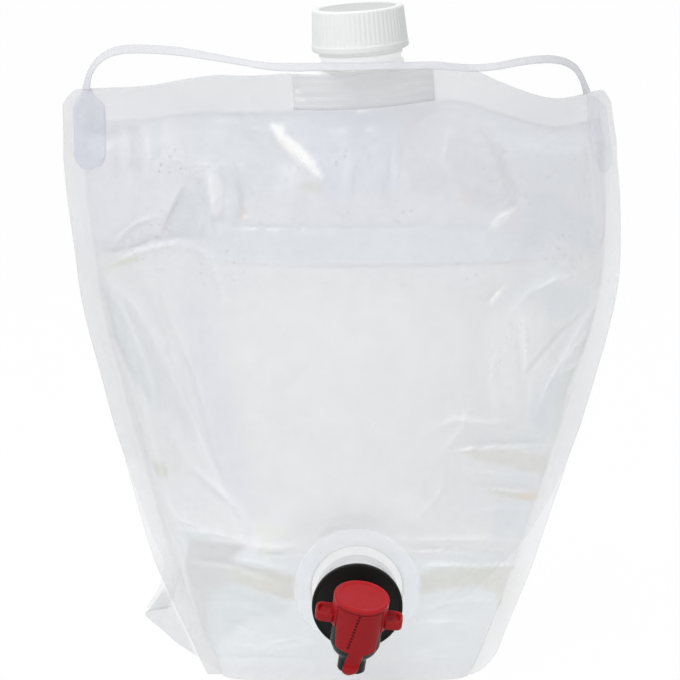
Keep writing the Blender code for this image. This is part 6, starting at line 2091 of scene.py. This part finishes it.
@dataclass
class Shroud:
    """The tear-off front plate with its pull tab, in the tap's frame."""

    matrix: Array
    radius: float = 0.0138
    inner: float = 0.01308
    half_angle: float = math.radians(55.4)
    slope: float = math.tan(math.radians(11))
    groove_top: float = 0.0135
    groove: float = 0.0002
    foot: float = 0.0101
    draft: float = 0.0012
    corner: float = 0.0030
    tab_width: float = 0.0076
    tab_offset: float = 0.0008
    tab_lean: float = 0.0028
    tab_length: float = 0.0105
    tab_lip: float = 0.0026
    tab_standoff: float = 0.0006
    holes: int = 13
    hole_radius: float = 0.00060
    hole_depth: float = 0.00045
    line_start: Pair = (0.0004, 0.0131)
    line_end: Pair = (-0.0037, -0.0070)
    side_shade: float = 0.30
    tab_crown: float = 0.0009
    tab_crown_run: float = 0.003

    def rows(self) -> tuple[Array, Array, Array, Array, Array]:
        """Height, centre, half width, stand-off and thickness of each row: shell, shoulder, then tab."""
        wide, wall = self.radius * math.sin(self.half_angle), self.radius - self.inner
        tab = -self.foot + self.corner
        s = np.linspace(0, 1, 110)
        start = self.groove_top - self.groove
        shell = np.stack([start + (tab - start) * s, 0 * s, wide - self.draft * s * s, 0 * s, wall + 0 * s])
        s = np.linspace(0, 1, 30)[1:]
        half = self.tab_width / 2 + (wide - self.draft - self.tab_width / 2) * (1 - s**3)
        shoulder = np.stack([tab - self.corner * s, self.tab_offset * s**4, half, 0 * s, wall + 0 * s])
        s = 1 - np.linspace(1, 0, 70)[1:] ** 1.5
        past = np.maximum(s - 0.62, 0) / 0.40
        thick = wall + self.tab_lip * eased((s - 0.50) / 0.15) * np.sqrt(1 - past * past)
        end = np.stack([-self.foot - self.tab_length * s, self.tab_offset - self.tab_lean * s,
                        self.tab_width / 2 * np.sqrt(1 - past**3), self.tab_standoff * eased(s), thick])
        return tuple(np.concatenate([shell, shoulder, end], axis=1))

    def build(self, red: bpy.types.Material) -> None:
        """Makes the plate: x = R sin a, y = -R cos a on each row, the tear line's small holes pressed in."""
        height, centre, half, out, thick = (value[:, None] for value in self.rows())
        t = np.linspace(-1, 1, 161)[None, :]
        a = np.arcsin(np.clip(half / self.radius, -1, 1)) * t
        bend = self.radius * np.cos(a)
        level = height - self.slope * bend * np.maximum(height, 0) / self.groove_top
        wall = self.radius - self.inner
        rim = np.sqrt(np.clip(1 - np.abs(t) ** 24, 0.3, 1))
        x = centre + self.radius * np.sin(a)
        tab_round = self.tab_crown * eased((-height - self.foot) / self.tab_crown_run) * t * t
        y = -bend - out - (thick - wall) + wall * (1 - rim) + tab_round
        pressed = np.zeros(x.shape)
        for hx, hz in np.linspace(self.line_start, self.line_end, self.holes):
            away = np.hypot(x - hx, level - hz) / self.hole_radius
            pressed = np.maximum(pressed, 1 - eased((away - 0.6) / 0.7))
        outer = np.stack([x, y + pressed * self.hole_depth, level + 0 * t], axis=2)
        inner_x, inner_y = centre + self.inner * np.sin(a), -self.inner * np.cos(a) - out
        inner = np.stack([inner_x, inner_y, level + 0 * t], axis=2)
        surface = Surface.shell(outer, inner).placed(self.matrix)
        shade = self.side_shade + (1 - self.side_shade) * pressed
        surface.marks = {"shade": np.concatenate([shade.ravel(), shade.ravel() * 0 + self.side_shade])}
        add_piece("tear_off_shroud", surface, red, "shroud", ("tamper_shroud",))


# The studio


@dataclass(frozen=True)
class Lamp:
    """A rectangular lamp: where it stands, its width and height, its watts, and whether gloss mirrors it."""

    name: str
    place: tuple[float, float, float]
    aim: float
    size: Pair
    power: float
    mirrored: bool = False

    def build(self) -> None:
        """Makes the lamp, turned to the point at its aim's height over the middle of the floor."""
        data = bpy.data.lights.new(self.name, "AREA")
        data.shape, data.size, data.size_y = "RECTANGLE", *self.size
        data.energy = self.power
        lamp = bpy.data.objects.new(self.name, data)
        ahead = np.subtract((0.0, 0.0, self.aim), self.place)
        lamp.location = self.place
        lamp.rotation_euler = (
            math.acos(-ahead[2] / np.linalg.norm(ahead)), 0.0, math.atan2(ahead[1], ahead[0]) - math.pi / 2)
        lamp.visible_glossy = self.mirrored
        bpy.context.scene.collection.objects.link(lamp)


@dataclass
class Studio:
    """A white floor and background, a soft sky and three lamps."""

    floor_size: float = 12.0
    floor_drop: float = 0.0002
    floor_colour: Rgb = (0.93, 0.93, 0.93)
    floor_glow: float = 0.975
    sky: float = 0.62
    sky_colour: Rgb = (0.97, 0.98, 1.0)
    white: Rgb = (1.0, 1.0, 1.0)
    film_walls: int = 24
    lamps: tuple[Lamp, ...] = (
        Lamp("key", (-0.35, -0.30, 1.60), 0.17, (0.80, 0.80), 12.0),
        Lamp("fill", (-0.40, -1.90, 0.90), 0.17, (1.20, 1.00), 4.5),
        Lamp("glint", (-0.62, -1.10, 1.30), 0.22, (0.10, 0.22), 0.8, mirrored=True),
    )

    def ray(self, graph: Graph, *kinds: str) -> Wire:
        """1 where a ray is of one of these kinds, otherwise 0."""
        found = [graph.node("ShaderNodeLightPath", {}, {}, f"Is {kind} Ray") for kind in kinds]
        return functools.reduce(lambda first, second: first + second, found).kept()

    def world(self) -> None:
        """White where it is seen or mirrored, and a plain level of light elsewhere."""
        world = bpy.data.worlds.new("studio")
        bpy.context.scene.world = world
        graph = Graph(world)
        graph.tree.nodes.clear()
        seen = graph.node("ShaderNodeBackground", {}, {"Color": self.white, "Strength": 1.0})
        lit = graph.node("ShaderNodeBackground", {}, {"Color": self.sky_colour, "Strength": self.sky})
        factor = self.ray(graph, "Camera", "Transmission", "Glossy")
        mix = graph.node("ShaderNodeMixShader", {}, {0: factor, 1: lit, 2: seen})
        graph.feed(graph.tree.nodes.new("ShaderNodeOutputWorld").inputs["Surface"], mix)

    def floor(self) -> None:
        """A pale floor that is nearly white to the camera and keeps a faint shadow."""
        side = np.array([-1.0, 1.0]) * self.floor_size / 2
        across, along = np.meshgrid(side, side)
        corners = np.stack([across, along, 0 * across - self.floor_drop], axis=2)
        floor = make_mesh("floor", Surface.grid(corners))
        graph = Graph.named("floor_white")
        graph.principled(Base_Color=self.floor_colour, Roughness=0.9, Specular_IOR_Level=0.1)
        glow = graph.node("ShaderNodeEmission", {}, {"Color": self.white})
        matt = Wire(graph, graph.shader.outputs[0])
        factor = self.ray(graph, "Camera", "Glossy") * self.floor_glow
        mix = graph.node("ShaderNodeMixShader", {}, {0: factor, 1: matt, 2: glow})
        graph.feed(graph.tree.nodes["Material Output"].inputs["Surface"], mix)
        floor.data.materials.append(graph.owner)

    def build(self) -> None:
        """Makes the studio, and lets light pass all the film's walls that lie behind each other."""
        bpy.context.scene.cycles.transparent_max_bounces = self.film_walls
        self.world()
        self.floor()
        for lamp in self.lamps:
            lamp.build()


# Building it all


FILM = ClearFilm("film_clear")
STRAP_PLASTIC = StrapFilm("strap_plastic", linear(222, 225, 235), linear(216, 216, 219), 0.36, 0.34)
WHITE = Moulded("cap_white", linear(229, 231, 229), 0.42, drift=0.02, dark=0.55, specular=0.3)
FITMENT = Moulded(
    "fitment_white", linear(232, 232, 231), 0.46, drift=0.02, dark=0.6, specular=0.15, glow=0.23)
MILKY = Moulded(
    "gland_milky", linear(242, 243, 244), 0.30, drift=0.03, dark=0.42, cover=0.30, specular=0.3, glow=0.50)
BLACK = Moulded(
    "tap_black", linear(26, 26, 25), 0.42, drift=0.15, dark=0.5, grain_depth=0.000016, specular=0.16)
RED = Moulded("tap_red", linear(169, 26, 33), 0.36, drift=0.10, dark=0.12, specular=0.16)
STEM = Moulded("stem_white", linear(224, 224, 220), 0.45, drift=0.04)
SEAL = Rubber("seal_rubber", linear(88, 88, 92), 0.7)
LINER = Rubber("liner_foam_white", linear(236, 236, 233), 0.75)


def dress_node(name: str, material: bpy.types.Material) -> None:
    """Gives a CAD node that stays its finish."""
    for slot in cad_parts[name].material_slots:
        slot.material = material
    LOG.info("%s: kept, in %s", name, material.name)


def main() -> None:
    """Builds the carrier, its studio and its camera."""
    shape, view = BagShape(), FrontView()
    view.place_camera()
    bag = FilmBag(shape, view)
    film = FILM.material()
    bag.panel(True, film)
    bag.panel(False, film)
    bag.gusset(film)
    CarryStrap(bag).build(STRAP_PLASTIC.material())
    Spout(shape).build(FITMENT.material(), WHITE.material())
    Gland(shape).build(MILKY.material())
    tap = shape.tap_matrix()
    red = RED.material()
    TapBody(tap).build(BLACK.material())
    TapHandle(tap).build(red)
    Shroud(tap).build(red)
    seal = SEAL.material()
    dress_node("cap_liner", LINER.material())
    dress_node("valve_stem", STEM.material())
    dress_node("outlet_seal", seal)
    Diaphragm(tap).build(seal)
    Studio().build()
    bpy.context.scene.view_settings.view_transform = "Standard"


if __name__ == "__main__":
    main()
